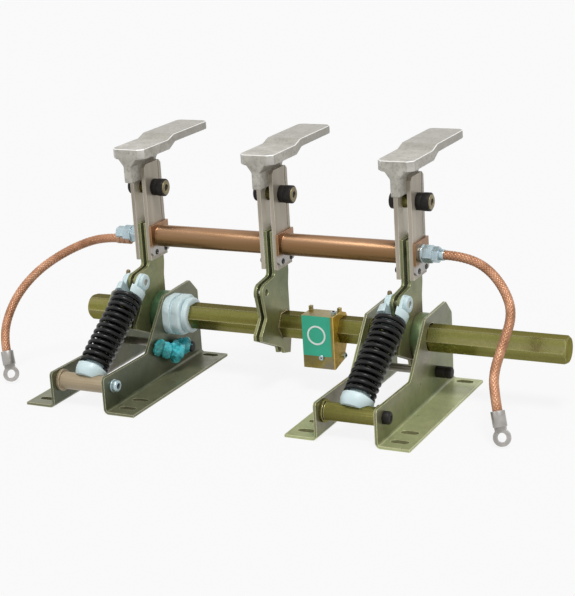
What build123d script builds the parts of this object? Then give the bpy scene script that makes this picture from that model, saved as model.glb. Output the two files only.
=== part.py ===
from build123d import *
import math
import os

# Three-pole indoor earthing switch, shown closed. Millimetres.
# X runs along the main shaft, Y away from the operator's side, Z up, and z = 0 is under the feet.
# The origin is the centre of the outer rectangle of base slots.

os.makedirs("parts", exist_ok=True)

# Clearances
running_clearance = 0.1
sliding_clearance = 0.3
seat_clearance = 0.2

# Poles and bracket pairs
phase_pitch = 210.0
pole_shift = 20.0
pair_width = 92.0
bracket_sheet = 4.0
foot_width = 45.0
bend_radius = 4.0
front_slot_edge = 23.0
rear_slot_edge = 13.0
slot_row_gap = 246.0
second_slot_step = 35.0
slot_length = 26.0
slot_width = 11.0
slot_from_web = 22.0

# Main shaft
shaft_from_front = 200.0
shaft_height = 91.0
shaft_flats = 35.0
shaft_left_out = 47.0
shaft_right_out = 199.0
shaft_end_chamfer = 3.0

# Bracket web outline, as heights over the floor and distances from the shaft
nose_height = 54.0
nose_fall = 2.0
ramp_foot = 80.0
ramp_top = 19.0
crown_height = 123.5
crown_rear = 60.0
crown_rise = 2.5
rear_shoulder_height = 104.0
web_corner_radius = 6.0

# Bearing parts
disc_diameter = 68.0
block_size = 58.0
block_corner = 21.0
block_length = 29.0
block_groove = 3.0

# Crank
crank_sheet = 4.6
crank_gap = 5.2
neck_half = 21.5
crank_back = 18.0
horn_radius = 13.0
crank_pin_forward = 51.0
crank_pin_up = 62.0
crank_pin_diameter = 10.0
toe_forward = 73.0
toe_top = 3.0
toe_bottom = 5.0
heel_depth = 48.0
heel_rise = 5.0
heel_front = 9.0
heel_rear = 13.0
heel_start = 34.0
back_low = 29.0
back_high = 56.0
neck_shoulder = 13.0
throat_forward = 48.0
throat_up = 24.0
horn_rise = 4.0
crank_fillet = 6.0

# Blades and what joins them
blade_sheet = 6.0
blade_depth = 47.0
blade_low = 88.0
blade_length = 145.0
blade_groove_width = 3.0
blade_groove_depth = 0.8
blade_groove_rear = 8.0
blade_corner_cut = 5.0
blade_hole_diameter = 5.0
blade_hole_edge = 11.0
blade_hole_gap = 26.0
tube_height = 121.0
tube_diameter = 32.0
tube_wall = 3.0
flange_sheet = 4.0
flange_depth = 50.0
flange_height = 46.0
flange_drop = 3.5
flange_corner = 6.0
tie_rod_diameter = 12.0
terminal_tiers = {
    "right": ((26, 2.5, False), (22, 14.3, True), (20, 9, True), (16, 7, False)),
    "left": ((27, 2.8, False), (22, 13, True), (26, 2.2, False), (22, 11.8, True), (18, 13, True)),
}
ferrule_diameter = 15.0
ferrule_drop = 9.0
ferrule_start = 21.0
ferrule_length = 23.0
clamp_below_top = 38.0
clamp_rod_diameter = 10.0
clamp_spacer_diameter = 19.6
clamp_right_diameter = 26.0
clamp_right_length = 21.0
clamp_left_diameter = 24.0
clamp_left_length = 13.0

# Fixed contacts
contact_width = 54.0
contact_front = 48.4
contact_rear = 152.0
contact_front_sheet = 15.5
contact_rear_sheet = 12.5
contact_rise = 5.5
contact_above_blade = 12.5
contact_corner_cut = 8.5
tongue_height = 35.0
tongue_flare = 31.0
joggle_start = 28.0
joggle_end = 46.0

# Springs and their seats
pivot_from_shaft = 176.0
pivot_height = 35.5
pivot_pin_diameter = 12.0
pin_heads = {"left": (19, 9.0), "right": (18, 10.0)}
pin_tail_diameter = 13.5
pin_tail_length = 7.0
spacer_diameter = 25.0
spacer_flange_diameter = 32.0
spacer_flange_sheet = 5.0
spring_lean = 1.5
spring_wire = 6.6
spring_mean_radius = 19.4
spring_turns = 12.6
lower_seat_length = 23.0
upper_seat_length = 24.5
seat_diameter = 46.0
seat_foot_radius = 18.5
seat_foot_start = 5.0
seat_rim = 5.0
collar_diameter = 43.6
collar_start = 12.5
spigot_clearance = 0.5
lower_spigot = 8.0
upper_spigot = 13.5
fork_prong_sheet = 4.8
fork_slot_over = 30.0

# Stop rods
stop_rod_back = 16.0
stop_rod_below = 56.0
stop_rod_diameter = 12.0
stop_cap_diameter = 17.0
stop_cap_length = 24.0

# Position indicator on the shaft
indicator_from_pole = 50.5
indicator_width = 50.0
indicator_height = 79.0
indicator_above = 27.0
indicator_forward = 32.0
indicator_sheet = 2.5
indicator_roof = 31.0
indicator_cheek = 37.0
indicator_ear = 6.0
indicator_ear_width = 5.0

# Braids, with points of their routes as x, y, z
braid_diameter = 13.6
lug_barrel_diameter = 19.0
lug_barrel_length = 21.0
lug_ring_diameter = 24.0
lug_hole_diameter = 12.5
lug_sheet = 4.0
lug_neck = 14.0
braid_run_share = 0.45
braid_routes = {
    "right": (
        (280, 54, 212),
        (303, 54, 212),
        (340, 46, 204),
        (373, 26, 183),
        (395, 1, 154),
        (391, -31, 120),
        (386, -57, 87),
        (394.3, -74.7, 62.1),
        (399, -80, 45.6),
    ),
    "left": (
        (-247.2, 54, 203),
        (-262, 54, 203),
        (-296, 52, 197),
        (-338, 41, 179),
        (-377, 22, 153),
        (-401, -4, 121),
        (-407, -31, 88),
        (-396.2, -57.6, 63.9),
        (-390.5, -62.5, 46.5),
    ),
}
lug_facings = {"right": (0.1, -1, 0.2), "left": (0.5, -1, 0.1)}

# Places worked out from the sizes above
foot_front = -slot_row_gap / 2 - front_slot_edge
foot_rear = slot_row_gap / 2 + rear_slot_edge
shaft_y = foot_front + shaft_from_front
shaft_z = shaft_height
shaft_corner = shaft_flats / math.sqrt(3)
shaft_bore = shaft_corner + running_clearance
poles = {
    "left": pole_shift - phase_pitch,
    "middle": pole_shift,
    "right": pole_shift + phase_pitch,
}
pairs = {"left": -phase_pitch, "right": phase_pitch}
web_outside = pair_width / 2
web_inside = web_outside - bracket_sheet
crank_half = crank_sheet + crank_gap / 2
blade_outside = crank_half + blade_sheet
pivot_y = shaft_y - pivot_from_shaft
crank_pin_y = shaft_y - crank_pin_forward
crank_pin_z = shaft_z + crank_pin_up
tube_z = shaft_z + tube_height
neck_top = tube_z + flange_height / 2
blade_low_z = shaft_z + blade_low
blade_top_z = blade_low_z + blade_length
clamp_z = blade_top_z - clamp_below_top
spring_slope = math.degrees(
    math.atan2(crank_pin_z - pivot_height, crank_pin_y - pivot_y)
)
stop_y = shaft_y + stop_rod_back
stop_z = shaft_z - stop_rod_below


def shaft_hexagon(play=0.0, mode=Mode.ADD):
    """Hexagon of the shaft, corners to the front and back, in a sketch on a YZ plane."""
    with Locations((shaft_y, shaft_z)):
        RegularPolygon(shaft_corner + play, 6, mode=mode)


def flange_outline():
    """Outline of the flanges beside the blades, rounded at the bottom, on a YZ plane."""
    with Locations((shaft_y, tube_z - flange_drop)):
        plate = Rectangle(flange_depth, flange_height)
    fillet(plate.vertices().group_by(Axis.Y)[0], flange_corner)


def blade_holes(mode=Mode.SUBTRACT):
    """The two small holes near the lower end of blades and flanges, on a YZ plane."""
    with Locations((shaft_y, blade_low_z + blade_hole_edge)):
        with GridLocations(blade_hole_gap, 1, 2, 1):
            Circle(blade_hole_diameter / 2, mode=mode)


# Brackets: a bent plate each, with its foot turned outwards
for side, pair_x in pairs.items():
    for place, outward in (("left_plate", -1), ("right_plate", 1)):
        web_x = pair_x + outward * web_outside
        with BuildPart() as bracket:
            with BuildSketch(Plane.XZ.offset(-foot_rear)):
                with BuildLine():
                    Polyline(
                        (web_x, crown_height + bend_radius),
                        (web_x - outward * bracket_sheet, crown_height + bend_radius),
                        (web_x - outward * bracket_sheet, 0),
                        (web_x + outward * foot_width, 0),
                        (web_x + outward * foot_width, bracket_sheet),
                        (web_x, bracket_sheet),
                        close=True,
                    )
                bend = make_face()
                inner = bend.vertices().sort_by_distance((web_x, bracket_sheet))[0]
                fillet(inner, bend_radius)
            extrude(amount=foot_rear - foot_front)
            outer = bracket.edges().filter_by(Axis.Y).sort_by_distance(
                (web_x - outward * bracket_sheet, 0, 0)
            )[0]
            fillet(outer, bend_radius + bracket_sheet)
            with BuildSketch(Plane.YZ.offset(pair_x - pair_width)):
                with BuildLine():
                    Polyline(
                        (foot_front, 0),
                        (foot_front, nose_height),
                        (shaft_y - ramp_foot, nose_height - nose_fall),
                        (shaft_y - ramp_top, crown_height),
                        (shaft_y + crown_rear, crown_height + crown_rise),
                        (foot_rear, rear_shoulder_height),
                        (foot_rear, 0),
                        close=True,
                    )
                web = make_face()
                raised = [v for v in web.vertices() if v.Y > bracket_sheet]
                fillet(raised, web_corner_radius)
            extrude(amount=2 * pair_width, mode=Mode.INTERSECT)
            for hole_y, hole_z, hole_radius in (
                (shaft_y, shaft_z, shaft_bore),
                (pivot_y, pivot_height, pivot_pin_diameter / 2 + running_clearance),
                (stop_y, stop_z, stop_rod_diameter / 2 + running_clearance),
            ):
                with BuildSketch(Plane.YZ.offset(pair_x - pair_width)):
                    with Locations((hole_y, hole_z)):
                        Circle(hole_radius)
                extrude(amount=2 * pair_width, mode=Mode.SUBTRACT)
            slot_x = web_x + outward * slot_from_web
            with BuildSketch(Plane.XY):
                for slot_y in (
                    -slot_row_gap / 2,
                    -slot_row_gap / 2 + second_slot_step,
                    slot_row_gap / 2,
                ):
                    with Locations((slot_x, slot_y)):
                        SlotOverall(slot_length, slot_width)
            extrude(amount=bracket_sheet, mode=Mode.SUBTRACT)
        name = f"bracket_{side}_{place}"
        bracket.part.label = name
        export_step(bracket.part, f"parts/{name}.step")

# Bearing discs between crank and right plate of each pair, round bore for the shaft's corners
for side, pair_x in pairs.items():
    disc_start = poles[side] + crank_half + sliding_clearance
    disc_end = pair_x + web_inside
    with BuildPart() as bearing_disc:
        with BuildSketch(Plane.YZ.offset(disc_start)):
            with Locations((shaft_y, shaft_z)):
                Circle(disc_diameter / 2)
                Circle(shaft_bore, mode=Mode.SUBTRACT)
        extrude(amount=disc_end - disc_start)
    bearing_disc.part.label = f"bearing_disc_{side}"
    export_step(bearing_disc.part, f"parts/bearing_disc_{side}.step")

# Moulded bearing block outside the left pair's right plate
block_start = pairs["left"] + web_outside
with BuildPart() as bearing_block:
    with BuildSketch(Plane.YZ.offset(block_start)):
        with Locations((shaft_y, shaft_z)):
            RectangleRounded(block_size, block_size, block_corner)
            Circle(shaft_bore, mode=Mode.SUBTRACT)
    extrude(amount=block_length)
    fillet(bearing_block.faces().sort_by(Axis.X)[-1].outer_wire().edges(), 4)
    with BuildSketch(Plane.YZ.offset(block_start + block_length * 0.42)):
        with Locations((shaft_y, shaft_z)):
            Rectangle(2 * block_size, 2 * block_size)
            RectangleRounded(
                block_size - 2 * block_groove,
                block_size - 2 * block_groove,
                block_corner - block_groove,
                mode=Mode.SUBTRACT,
            )
    extrude(amount=block_groove, mode=Mode.SUBTRACT)
bearing_block.part.label = "bearing_block"
export_step(bearing_block.part, "parts/bearing_block.step")

# Main shaft with turned-down corners at both ends
shaft_start = pairs["left"] - web_outside - shaft_left_out
shaft_end = pairs["right"] + web_outside + shaft_right_out
with BuildPart() as main_shaft:
    with BuildSketch(Plane.YZ.offset(shaft_start)):
        shaft_hexagon()
    extrude(amount=shaft_end - shaft_start)
    with BuildSketch(Plane.YZ.offset(shaft_start)):
        with Locations((shaft_y, shaft_z)):
            Circle(shaft_corner + running_clearance)
    extrude(amount=shaft_end - shaft_start, mode=Mode.INTERSECT)
    with BuildPart(mode=Mode.PRIVATE) as turned:
        with BuildSketch(Plane.YZ.offset(shaft_start)):
            with Locations((shaft_y, shaft_z)):
                Circle(shaft_corner + running_clearance)
        extrude(amount=shaft_end - shaft_start)
        chamfer(turned.edges().filter_by(GeomType.CIRCLE), shaft_end_chamfer + 1, shaft_end_chamfer)
    add(turned.part, mode=Mode.INTERSECT)
main_shaft.part.label = "main_shaft"
export_step(main_shaft.part, "parts/main_shaft.step")

# Cranks: two plates on the shaft at each pole, reaching up between the blades
for side, pole_x in poles.items():
    with BuildPart() as crank:
        for start in (-crank_half, crank_gap / 2):
            with BuildSketch(Plane.YZ.offset(pole_x + start)):
                with BuildLine():
                    Polyline(
                        (shaft_y - neck_half, neck_top),
                        (shaft_y - neck_half, crank_pin_z + horn_radius + horn_rise),
                        (crank_pin_y, crank_pin_z + horn_radius),
                        (crank_pin_y - horn_radius, crank_pin_z),
                        (shaft_y - throat_forward - 6, shaft_z + throat_up),
                        (shaft_y - toe_forward, shaft_z + toe_top),
                        (shaft_y - toe_forward, shaft_z - toe_bottom),
                        (shaft_y - heel_front, shaft_z - heel_start),
                        (shaft_y - heel_front + 2, shaft_z - heel_depth + heel_rise),
                        (shaft_y + heel_rear, shaft_z - heel_depth),
                        (shaft_y + crank_back, shaft_z - back_low),
                        (shaft_y + crank_back, shaft_z + back_high),
                        (shaft_y + neck_half, blade_low_z - neck_shoulder),
                        (shaft_y + neck_half, neck_top),
                        close=True,
                    )
                outline = make_face()
                inside_corners = (
                    (shaft_y - neck_half, crank_pin_z + horn_radius + horn_rise),
                    (shaft_y - throat_forward - 6, shaft_z + throat_up),
                    (shaft_y - heel_front, shaft_z - heel_start),
                )
                fillet(
                    [outline.vertices().sort_by_distance(place)[0] for place in inside_corners],
                    crank_fillet,
                )
                with Locations((crank_pin_y, crank_pin_z)):
                    Circle(horn_radius)
                shaft_hexagon(running_clearance, Mode.SUBTRACT)
                with Locations((crank_pin_y, crank_pin_z)):
                    Circle(crank_pin_diameter / 2, mode=Mode.SUBTRACT)
                with Locations((shaft_y, tube_z)):
                    Circle(tie_rod_diameter / 2, mode=Mode.SUBTRACT)
            extrude(amount=crank_sheet)
    crank.part.label = f"crank_{side}"
    export_step(crank.part, f"parts/crank_{side}.step")

# Blades: one bar on each side of the crank's neck, gripping the fixed contact's tongue
for side, pole_x in poles.items():
    with BuildPart() as blades:
        for start in (-blade_outside, crank_half):
            with BuildSketch(Plane.YZ.offset(pole_x + start)):
                with Locations((shaft_y, (blade_low_z + blade_top_z) / 2)):
                    bar = Rectangle(blade_depth, blade_length)
                top = bar.vertices().group_by(Axis.Y)[-1]
                chamfer(top, blade_corner_cut)
                with Locations((shaft_y, tube_z)):
                    Circle(tie_rod_diameter / 2, mode=Mode.SUBTRACT)
                with Locations((shaft_y, clamp_z)):
                    Circle(clamp_rod_diameter / 2, mode=Mode.SUBTRACT)
                blade_holes()
            extrude(amount=blade_sheet)
        groove_low = tube_z + flange_height / 2
        for start in (-blade_outside, blade_outside - blade_groove_depth):
            with BuildSketch(Plane.YZ.offset(pole_x + start)):
                with Locations((shaft_y + blade_depth / 2 - blade_groove_rear, groove_low)):
                    Rectangle(
                        blade_groove_width,
                        2 * blade_length,
                        align=(Align.CENTER, Align.MIN),
                    )
            extrude(amount=blade_groove_depth, mode=Mode.SUBTRACT)
    blades.part.label = f"blades_{side}"
    export_step(blades.part, f"parts/blades_{side}.step")

# Copper tubes between the poles, each with a square flange at its left end
for side, left_pole, right_pole in (("left", "left", "middle"), ("right", "middle", "right")):
    start = poles[left_pole] + blade_outside
    end = poles[right_pole] - blade_outside
    with BuildPart() as contact_tube:
        with BuildSketch(Plane.YZ.offset(start)):
            flange_outline()
        extrude(amount=flange_sheet)
        with BuildSketch(Plane.YZ.offset(start)):
            with Locations((shaft_y, tube_z)):
                Circle(tube_diameter / 2)
        extrude(amount=end - start)
        with BuildSketch(Plane.YZ.offset(start)):
            with Locations((shaft_y, tube_z)):
                Circle(tube_diameter / 2 - tube_wall)
        extrude(amount=end - start, mode=Mode.SUBTRACT)
        with BuildSketch(Plane.YZ.offset(start)):
            blade_holes(Mode.ADD)
        extrude(amount=flange_sheet, mode=Mode.SUBTRACT)
    contact_tube.part.label = f"contact_tube_{side}"
    export_step(contact_tube.part, f"parts/contact_tube_{side}.step")

# Square terminal plate outside the right pole
terminal_start = poles["right"] + blade_outside
with BuildPart() as terminal_plate:
    with BuildSketch(Plane.YZ.offset(terminal_start)):
        flange_outline()
        with Locations((shaft_y, tube_z)):
            Circle(tie_rod_diameter / 2, mode=Mode.SUBTRACT)
        blade_holes()
    extrude(amount=flange_sheet)
terminal_plate.part.label = "terminal_plate"
export_step(terminal_plate.part, "parts/terminal_plate.step")

# Washers, nuts and the braid's ferrule at both ends of the tie rod, stacked outwards
terminals = (
    ("right", 1, terminal_start + flange_sheet),
    ("left", -1, poles["left"] - blade_outside),
)
rod_grips = {}
for side, outward, seat in terminals:
    tiers = terminal_tiers[side]
    grip = sum(length for size, length, is_hexagon in tiers[:-1])
    rod_grips[side] = grip
    with BuildPart() as terminal_nut:
        washer_plane = Plane(origin=(seat, shaft_y, tube_z), x_dir=(0, 1, 0), z_dir=(outward, 0, 0))
        tier_start = 0
        for index, (size, length, is_hexagon) in enumerate(tiers):
            with BuildSketch(washer_plane.offset(tier_start)):
                if is_hexagon:
                    RegularPolygon(size / 2, 6, major_radius=False, rotation=12 * index)
                else:
                    Circle(size / 2)
            extrude(amount=length)
            tier_start += length
        with BuildSketch(washer_plane):
            Circle(tie_rod_diameter / 2)
        extrude(amount=grip, mode=Mode.SUBTRACT)
        if side == "left":
            ferrule_plane = washer_plane.offset(ferrule_start)
            with BuildSketch(ferrule_plane):
                with Locations((0, ferrule_drop)):
                    Circle(ferrule_diameter / 2)
                Circle(tie_rod_diameter / 2, mode=Mode.SUBTRACT)
            extrude(amount=ferrule_length)
    terminal_nut.part.label = f"terminal_nut_{side}"
    export_step(terminal_nut.part, f"parts/terminal_nut_{side}.step")

# Tie rod through the blades, cranks and tubes
rod_start = poles["left"] - blade_outside - rod_grips["left"]
rod_end = terminal_start + flange_sheet + rod_grips["right"]
with BuildPart() as tie_rod:
    with BuildSketch(Plane.YZ.offset(rod_start)):
        with Locations((shaft_y, tube_z)):
            Circle(tie_rod_diameter / 2)
    extrude(amount=rod_end - rod_start)
tie_rod.part.label = "tie_rod"
export_step(tie_rod.part, "parts/tie_rod.step")

# Clamp bolts: rod, spacer between the blades, and a sleeve on either side
for side, pole_x in poles.items():
    clamp_plane = Plane(origin=(pole_x, shaft_y, clamp_z), x_dir=(1, 0, 0), z_dir=(0, -1, 0))
    with BuildPart() as clamp_bolt:
        with BuildSketch(clamp_plane):
            with BuildLine():
                Polyline(
                    (-blade_outside - clamp_left_length, 0),
                    (-blade_outside - clamp_left_length, clamp_left_diameter / 2),
                    (-blade_outside, clamp_left_diameter / 2),
                    (-blade_outside, clamp_rod_diameter / 2),
                    (-crank_half, clamp_rod_diameter / 2),
                    (-crank_half, clamp_spacer_diameter / 2),
                    (crank_half, clamp_spacer_diameter / 2),
                    (crank_half, clamp_rod_diameter / 2),
                    (blade_outside, clamp_rod_diameter / 2),
                    (blade_outside, clamp_right_diameter / 2),
                    (blade_outside + clamp_right_length, clamp_right_diameter / 2),
                    (blade_outside + clamp_right_length, 0),
                    close=True,
                )
            make_face()
        revolve(axis=Axis((pole_x, shaft_y, clamp_z), (1, 0, 0)))
    clamp_bolt.part.label = f"clamp_bolt_{side}"
    export_step(clamp_bolt.part, f"parts/clamp_bolt_{side}.step")

# Fixed contacts: plate with a step up to the busbar end, and a tongue between the blades
contact_underside = blade_top_z + contact_above_blade
contact_top = contact_underside + contact_front_sheet
rear_top = contact_top + contact_rise
nose_y = shaft_y - contact_front
flare_z = blade_top_z + 2
tongue_half = crank_half - sliding_clearance
for side, pole_x in poles.items():
    with BuildPart() as fixed_contact:
        with BuildSketch(Plane.YZ.offset(pole_x - contact_width / 2)):
            with BuildLine():
                Polyline(
                    (nose_y, contact_underside),
                    (nose_y, contact_top),
                    (shaft_y + joggle_start, contact_top),
                    (shaft_y + joggle_end, rear_top),
                    (shaft_y + contact_rear, rear_top),
                    (shaft_y + contact_rear, rear_top - contact_rear_sheet),
                    (shaft_y + joggle_end + 3, rear_top - contact_rear_sheet),
                    (shaft_y + joggle_start + 3, contact_underside),
                    close=True,
                )
            make_face()
        extrude(amount=contact_width)
        upright = fixed_contact.edges().filter_by(Axis.Z)
        chamfer(upright.group_by(Axis.Y)[0], contact_corner_cut)
        fillet(fixed_contact.edges().filter_by(Axis.Z).group_by(Axis.Y)[-1], 10)
        tongue_depth = contact_front + blade_depth / 2
        with BuildSketch(Plane.XY.offset(flare_z)):
            with Locations((pole_x, nose_y + tongue_depth / 2)):
                Rectangle(2 * tongue_half, tongue_depth)
        extrude(amount=contact_underside + 1 - flare_z)
        with BuildSketch(Plane.XZ.offset(-nose_y)):
            with BuildLine():
                Polyline(
                    (pole_x - tongue_half, flare_z),
                    (pole_x + tongue_half, flare_z),
                    (pole_x + tongue_flare / 2, contact_underside + 1),
                    (pole_x - tongue_flare / 2, contact_underside + 1),
                    close=True,
                )
            make_face()
        extrude(amount=-tongue_depth)
        with BuildSketch(Plane.XY.offset(contact_underside - tongue_height)):
            with Locations((pole_x, nose_y + tongue_depth / 2)):
                Rectangle(2 * tongue_half, tongue_depth)
        extrude(amount=tongue_height)
    fixed_contact.part.label = f"fixed_contact_{side}"
    export_step(fixed_contact.part, f"parts/fixed_contact_{side}.step")

# Spring seats, coil springs and forks; their axis leans from the pair's centre to the crank
for side, pair_x in pairs.items():
    pole_x = poles[side]
    low_end = Vector(pair_x, pivot_y, pivot_height)
    high_end = Vector(pole_x - spring_lean, crank_pin_y, crank_pin_z)
    spring_axis = (high_end - low_end).normalized()
    spring_length = (high_end - low_end).length
    across = Vector(1, 0, 0) - spring_axis * spring_axis.X
    low_plane = Plane(origin=low_end, x_dir=across, z_dir=spring_axis)
    high_plane = Plane(origin=high_end, x_dir=across, z_dir=spring_axis * -1)
    coil_low = lower_seat_length
    coil_high = spring_length - upper_seat_length
    spigot_radius = spring_mean_radius - spring_wire / 2 - spigot_clearance

    with BuildPart() as pivot_pin:
        pin_start = pair_x - web_outside
        pin_plane = Plane(origin=(pin_start, pivot_y, pivot_height), x_dir=(0, 1, 0), z_dir=(1, 0, 0))
        head_diameter, head_length = pin_heads[side]
        with BuildSketch(pin_plane.offset(-pin_tail_length)):
            Circle(pin_tail_diameter / 2)
        extrude(amount=pin_tail_length)
        fillet(pivot_pin.edges().group_by(Axis.X)[0], 1.5)
        with BuildSketch(pin_plane):
            Circle(pivot_pin_diameter / 2)
        extrude(amount=pair_width)
        with BuildSketch(pin_plane.offset(pair_width)):
            Circle(head_diameter / 2)
        extrude(amount=head_length)
        fillet(pivot_pin.edges().group_by(Axis.X)[-1], 1.5)
    pivot_pin.part.label = f"pivot_pin_{side}"
    export_step(pivot_pin.part, f"parts/pivot_pin_{side}.step")

    with BuildPart() as pivot_spacer:
        for start, diameter, length in (
            (-web_inside, spacer_diameter, 2 * web_inside),
            (-web_inside, spacer_flange_diameter, spacer_flange_sheet),
            (web_inside - spacer_flange_sheet, spacer_flange_diameter, spacer_flange_sheet),
        ):
            with BuildSketch(Plane.YZ.offset(pair_x + start)):
                with Locations((pivot_y, pivot_height)):
                    Circle(diameter / 2)
            extrude(amount=length)
        with BuildSketch(Plane.YZ.offset(pair_x - web_inside)):
            with Locations((pivot_y, pivot_height)):
                Circle(pivot_pin_diameter / 2 + running_clearance)
        extrude(amount=2 * web_inside, mode=Mode.SUBTRACT)
    pivot_spacer.part.label = f"pivot_spacer_{side}"
    export_step(pivot_spacer.part, f"parts/pivot_spacer_{side}.step")

    with BuildPart() as spring_seat:
        with BuildSketch(Plane(origin=low_end, x_dir=across, z_dir=across.cross(spring_axis))):
            with BuildLine():
                Line((0, seat_foot_start), (seat_foot_radius, seat_foot_start))
                ThreePointArc(
                    (seat_foot_radius, seat_foot_start),
                    (seat_diameter / 2 - 1, (lower_seat_length - seat_rim + seat_foot_start) / 2),
                    (seat_diameter / 2, lower_seat_length - seat_rim),
                )
                Polyline(
                    (seat_diameter / 2, lower_seat_length - seat_rim),
                    (seat_diameter / 2, lower_seat_length),
                    (spigot_radius, lower_seat_length),
                    (spigot_radius, lower_seat_length + lower_spigot),
                    (0, lower_seat_length + lower_spigot),
                    (0, seat_foot_start),
                )
            make_face()
        revolve(axis=Axis(low_end, spring_axis))
        with BuildSketch(Plane.YZ.offset(pair_x - web_inside)):
            with Locations((pivot_y, pivot_height)):
                Circle(spacer_diameter / 2 + sliding_clearance)
        extrude(amount=2 * web_inside, mode=Mode.SUBTRACT)
    spring_seat.part.label = f"spring_seat_{side}"
    export_step(spring_seat.part, f"parts/spring_seat_{side}.step")

    with BuildPart() as coil_spring:
        turns_start = coil_low + spring_wire / 2 + seat_clearance
        turns_height = coil_high - coil_low - spring_wire - 2 * seat_clearance
        with BuildLine() as wire_path:
            Helix(
                turns_height / spring_turns,
                turns_height,
                spring_mean_radius,
                center=low_end + spring_axis * turns_start,
                direction=spring_axis,
            )
        with BuildSketch(Plane(origin=wire_path.line @ 0, z_dir=wire_path.line % 0)):
            RegularPolygon(spring_wire / 2, 8)
        sweep(is_frenet=True)
    coil_spring.part.label = f"coil_spring_{side}"
    export_step(coil_spring.part, f"parts/coil_spring_{side}.step")

    fork_gap = crank_half + sliding_clearance
    with BuildPart() as spring_fork:
        with BuildSketch(high_plane.offset(collar_start)):
            Circle(collar_diameter / 2)
        extrude(amount=upper_seat_length - collar_start)
        with BuildSketch(high_plane.offset(upper_seat_length)):
            Circle(spigot_radius)
        extrude(amount=upper_spigot)
        with BuildSketch(Plane.YZ.offset(pole_x - fork_gap - fork_prong_sheet)):
            with Locations((crank_pin_y, crank_pin_z)):
                Circle(horn_radius)
            with Locations(Location((crank_pin_y, crank_pin_z), spring_slope)):
                with Locations((-collar_start / 2 - 1, 0)):
                    Rectangle(collar_start + 2, 2 * horn_radius)
        extrude(amount=2 * (fork_gap + fork_prong_sheet))
        slot_depth = upper_seat_length + upper_spigot - 6
        with BuildSketch(Plane.YZ.offset(pole_x - fork_gap)):
            with Locations(Location((crank_pin_y, crank_pin_z), spring_slope)):
                with Locations(((fork_slot_over - slot_depth) / 2, 0)):
                    Rectangle(slot_depth + fork_slot_over, 2 * collar_diameter)
        extrude(amount=2 * fork_gap, mode=Mode.SUBTRACT)
        with BuildSketch(Plane.YZ.offset(pole_x - 2 * fork_gap)):
            with Locations((crank_pin_y, crank_pin_z)):
                Circle(crank_pin_diameter / 2 + running_clearance)
        extrude(amount=4 * fork_gap, mode=Mode.SUBTRACT)
    spring_fork.part.label = f"spring_fork_{side}"
    export_step(spring_fork.part, f"parts/spring_fork_{side}.step")

    with BuildPart() as crank_pin:
        with BuildSketch(Plane.YZ.offset(pole_x - fork_gap - fork_prong_sheet)):
            with Locations((crank_pin_y, crank_pin_z)):
                Circle(crank_pin_diameter / 2)
        extrude(amount=2 * (fork_gap + fork_prong_sheet))
    crank_pin.part.label = f"crank_pin_{side}"
    export_step(crank_pin.part, f"parts/crank_pin_{side}.step")

    # Stop rod across the pair, with a rubber cap outside the right plate
    with BuildPart() as stop_rod:
        with BuildSketch(Plane.YZ.offset(pair_x - web_outside - 3)):
            with Locations((stop_y, stop_z)):
                Circle(stop_rod_diameter / 2)
        extrude(amount=pair_width + 3)
        with BuildSketch(Plane.YZ.offset(pair_x + web_outside)):
            with Locations((stop_y, stop_z)):
                Circle(stop_cap_diameter / 2)
        extrude(amount=stop_cap_length)
    stop_rod.part.label = f"stop_rod_{side}"
    export_step(stop_rod.part, f"parts/stop_rod_{side}.step")

# Position indicator: a bent cover hooked over the shaft
indicator_start = poles["middle"] + indicator_from_pole
indicator_front = shaft_y - indicator_forward
indicator_top = shaft_z + indicator_above
indicator_low = indicator_top - indicator_height
cheek_corner = shaft_corner + 2 * indicator_sheet
cheek_flat = cheek_corner * math.sqrt(3) / 2
with BuildPart() as position_indicator:
    with BuildSketch(Plane.YZ.offset(indicator_start)):
        with BuildLine():
            Polyline(
                (indicator_front, indicator_low),
                (indicator_front, indicator_top),
                (indicator_front + indicator_roof, indicator_top),
                (shaft_y + cheek_corner / 2, shaft_z + cheek_flat),
                (shaft_y + cheek_corner, shaft_z),
                (shaft_y + cheek_corner / 2, shaft_z - cheek_flat),
                (indicator_front + indicator_cheek, shaft_z - 1.6 * cheek_flat),
                (indicator_front + indicator_cheek, indicator_low + 7),
                close=True,
            )
        make_face()
    extrude(amount=indicator_width)
    with BuildSketch(Plane.YZ.offset(indicator_start + indicator_sheet)):
        with Locations((indicator_front + indicator_sheet, indicator_low - 1)):
            Rectangle(
                2 * indicator_roof,
                indicator_height + 1 - indicator_sheet,
                align=(Align.MIN, Align.MIN),
            )
    extrude(amount=indicator_width - 2 * indicator_sheet, mode=Mode.SUBTRACT)
    for ear_start in (0, indicator_width - indicator_ear_width):
        ear = (indicator_front + indicator_roof - indicator_ear, indicator_top - indicator_sheet)
        with BuildSketch(Plane.YZ.offset(indicator_start + ear_start)):
            with Locations(ear):
                Rectangle(
                    indicator_ear,
                    indicator_ear + indicator_sheet,
                    align=(Align.MIN, Align.MIN),
                )
        extrude(amount=indicator_ear_width)
    with BuildSketch(Plane.YZ.offset(indicator_start)):
        shaft_hexagon(running_clearance)
    extrude(amount=indicator_width, mode=Mode.SUBTRACT)
position_indicator.part.label = "position_indicator"
export_step(position_indicator.part, "parts/position_indicator.step")

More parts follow.
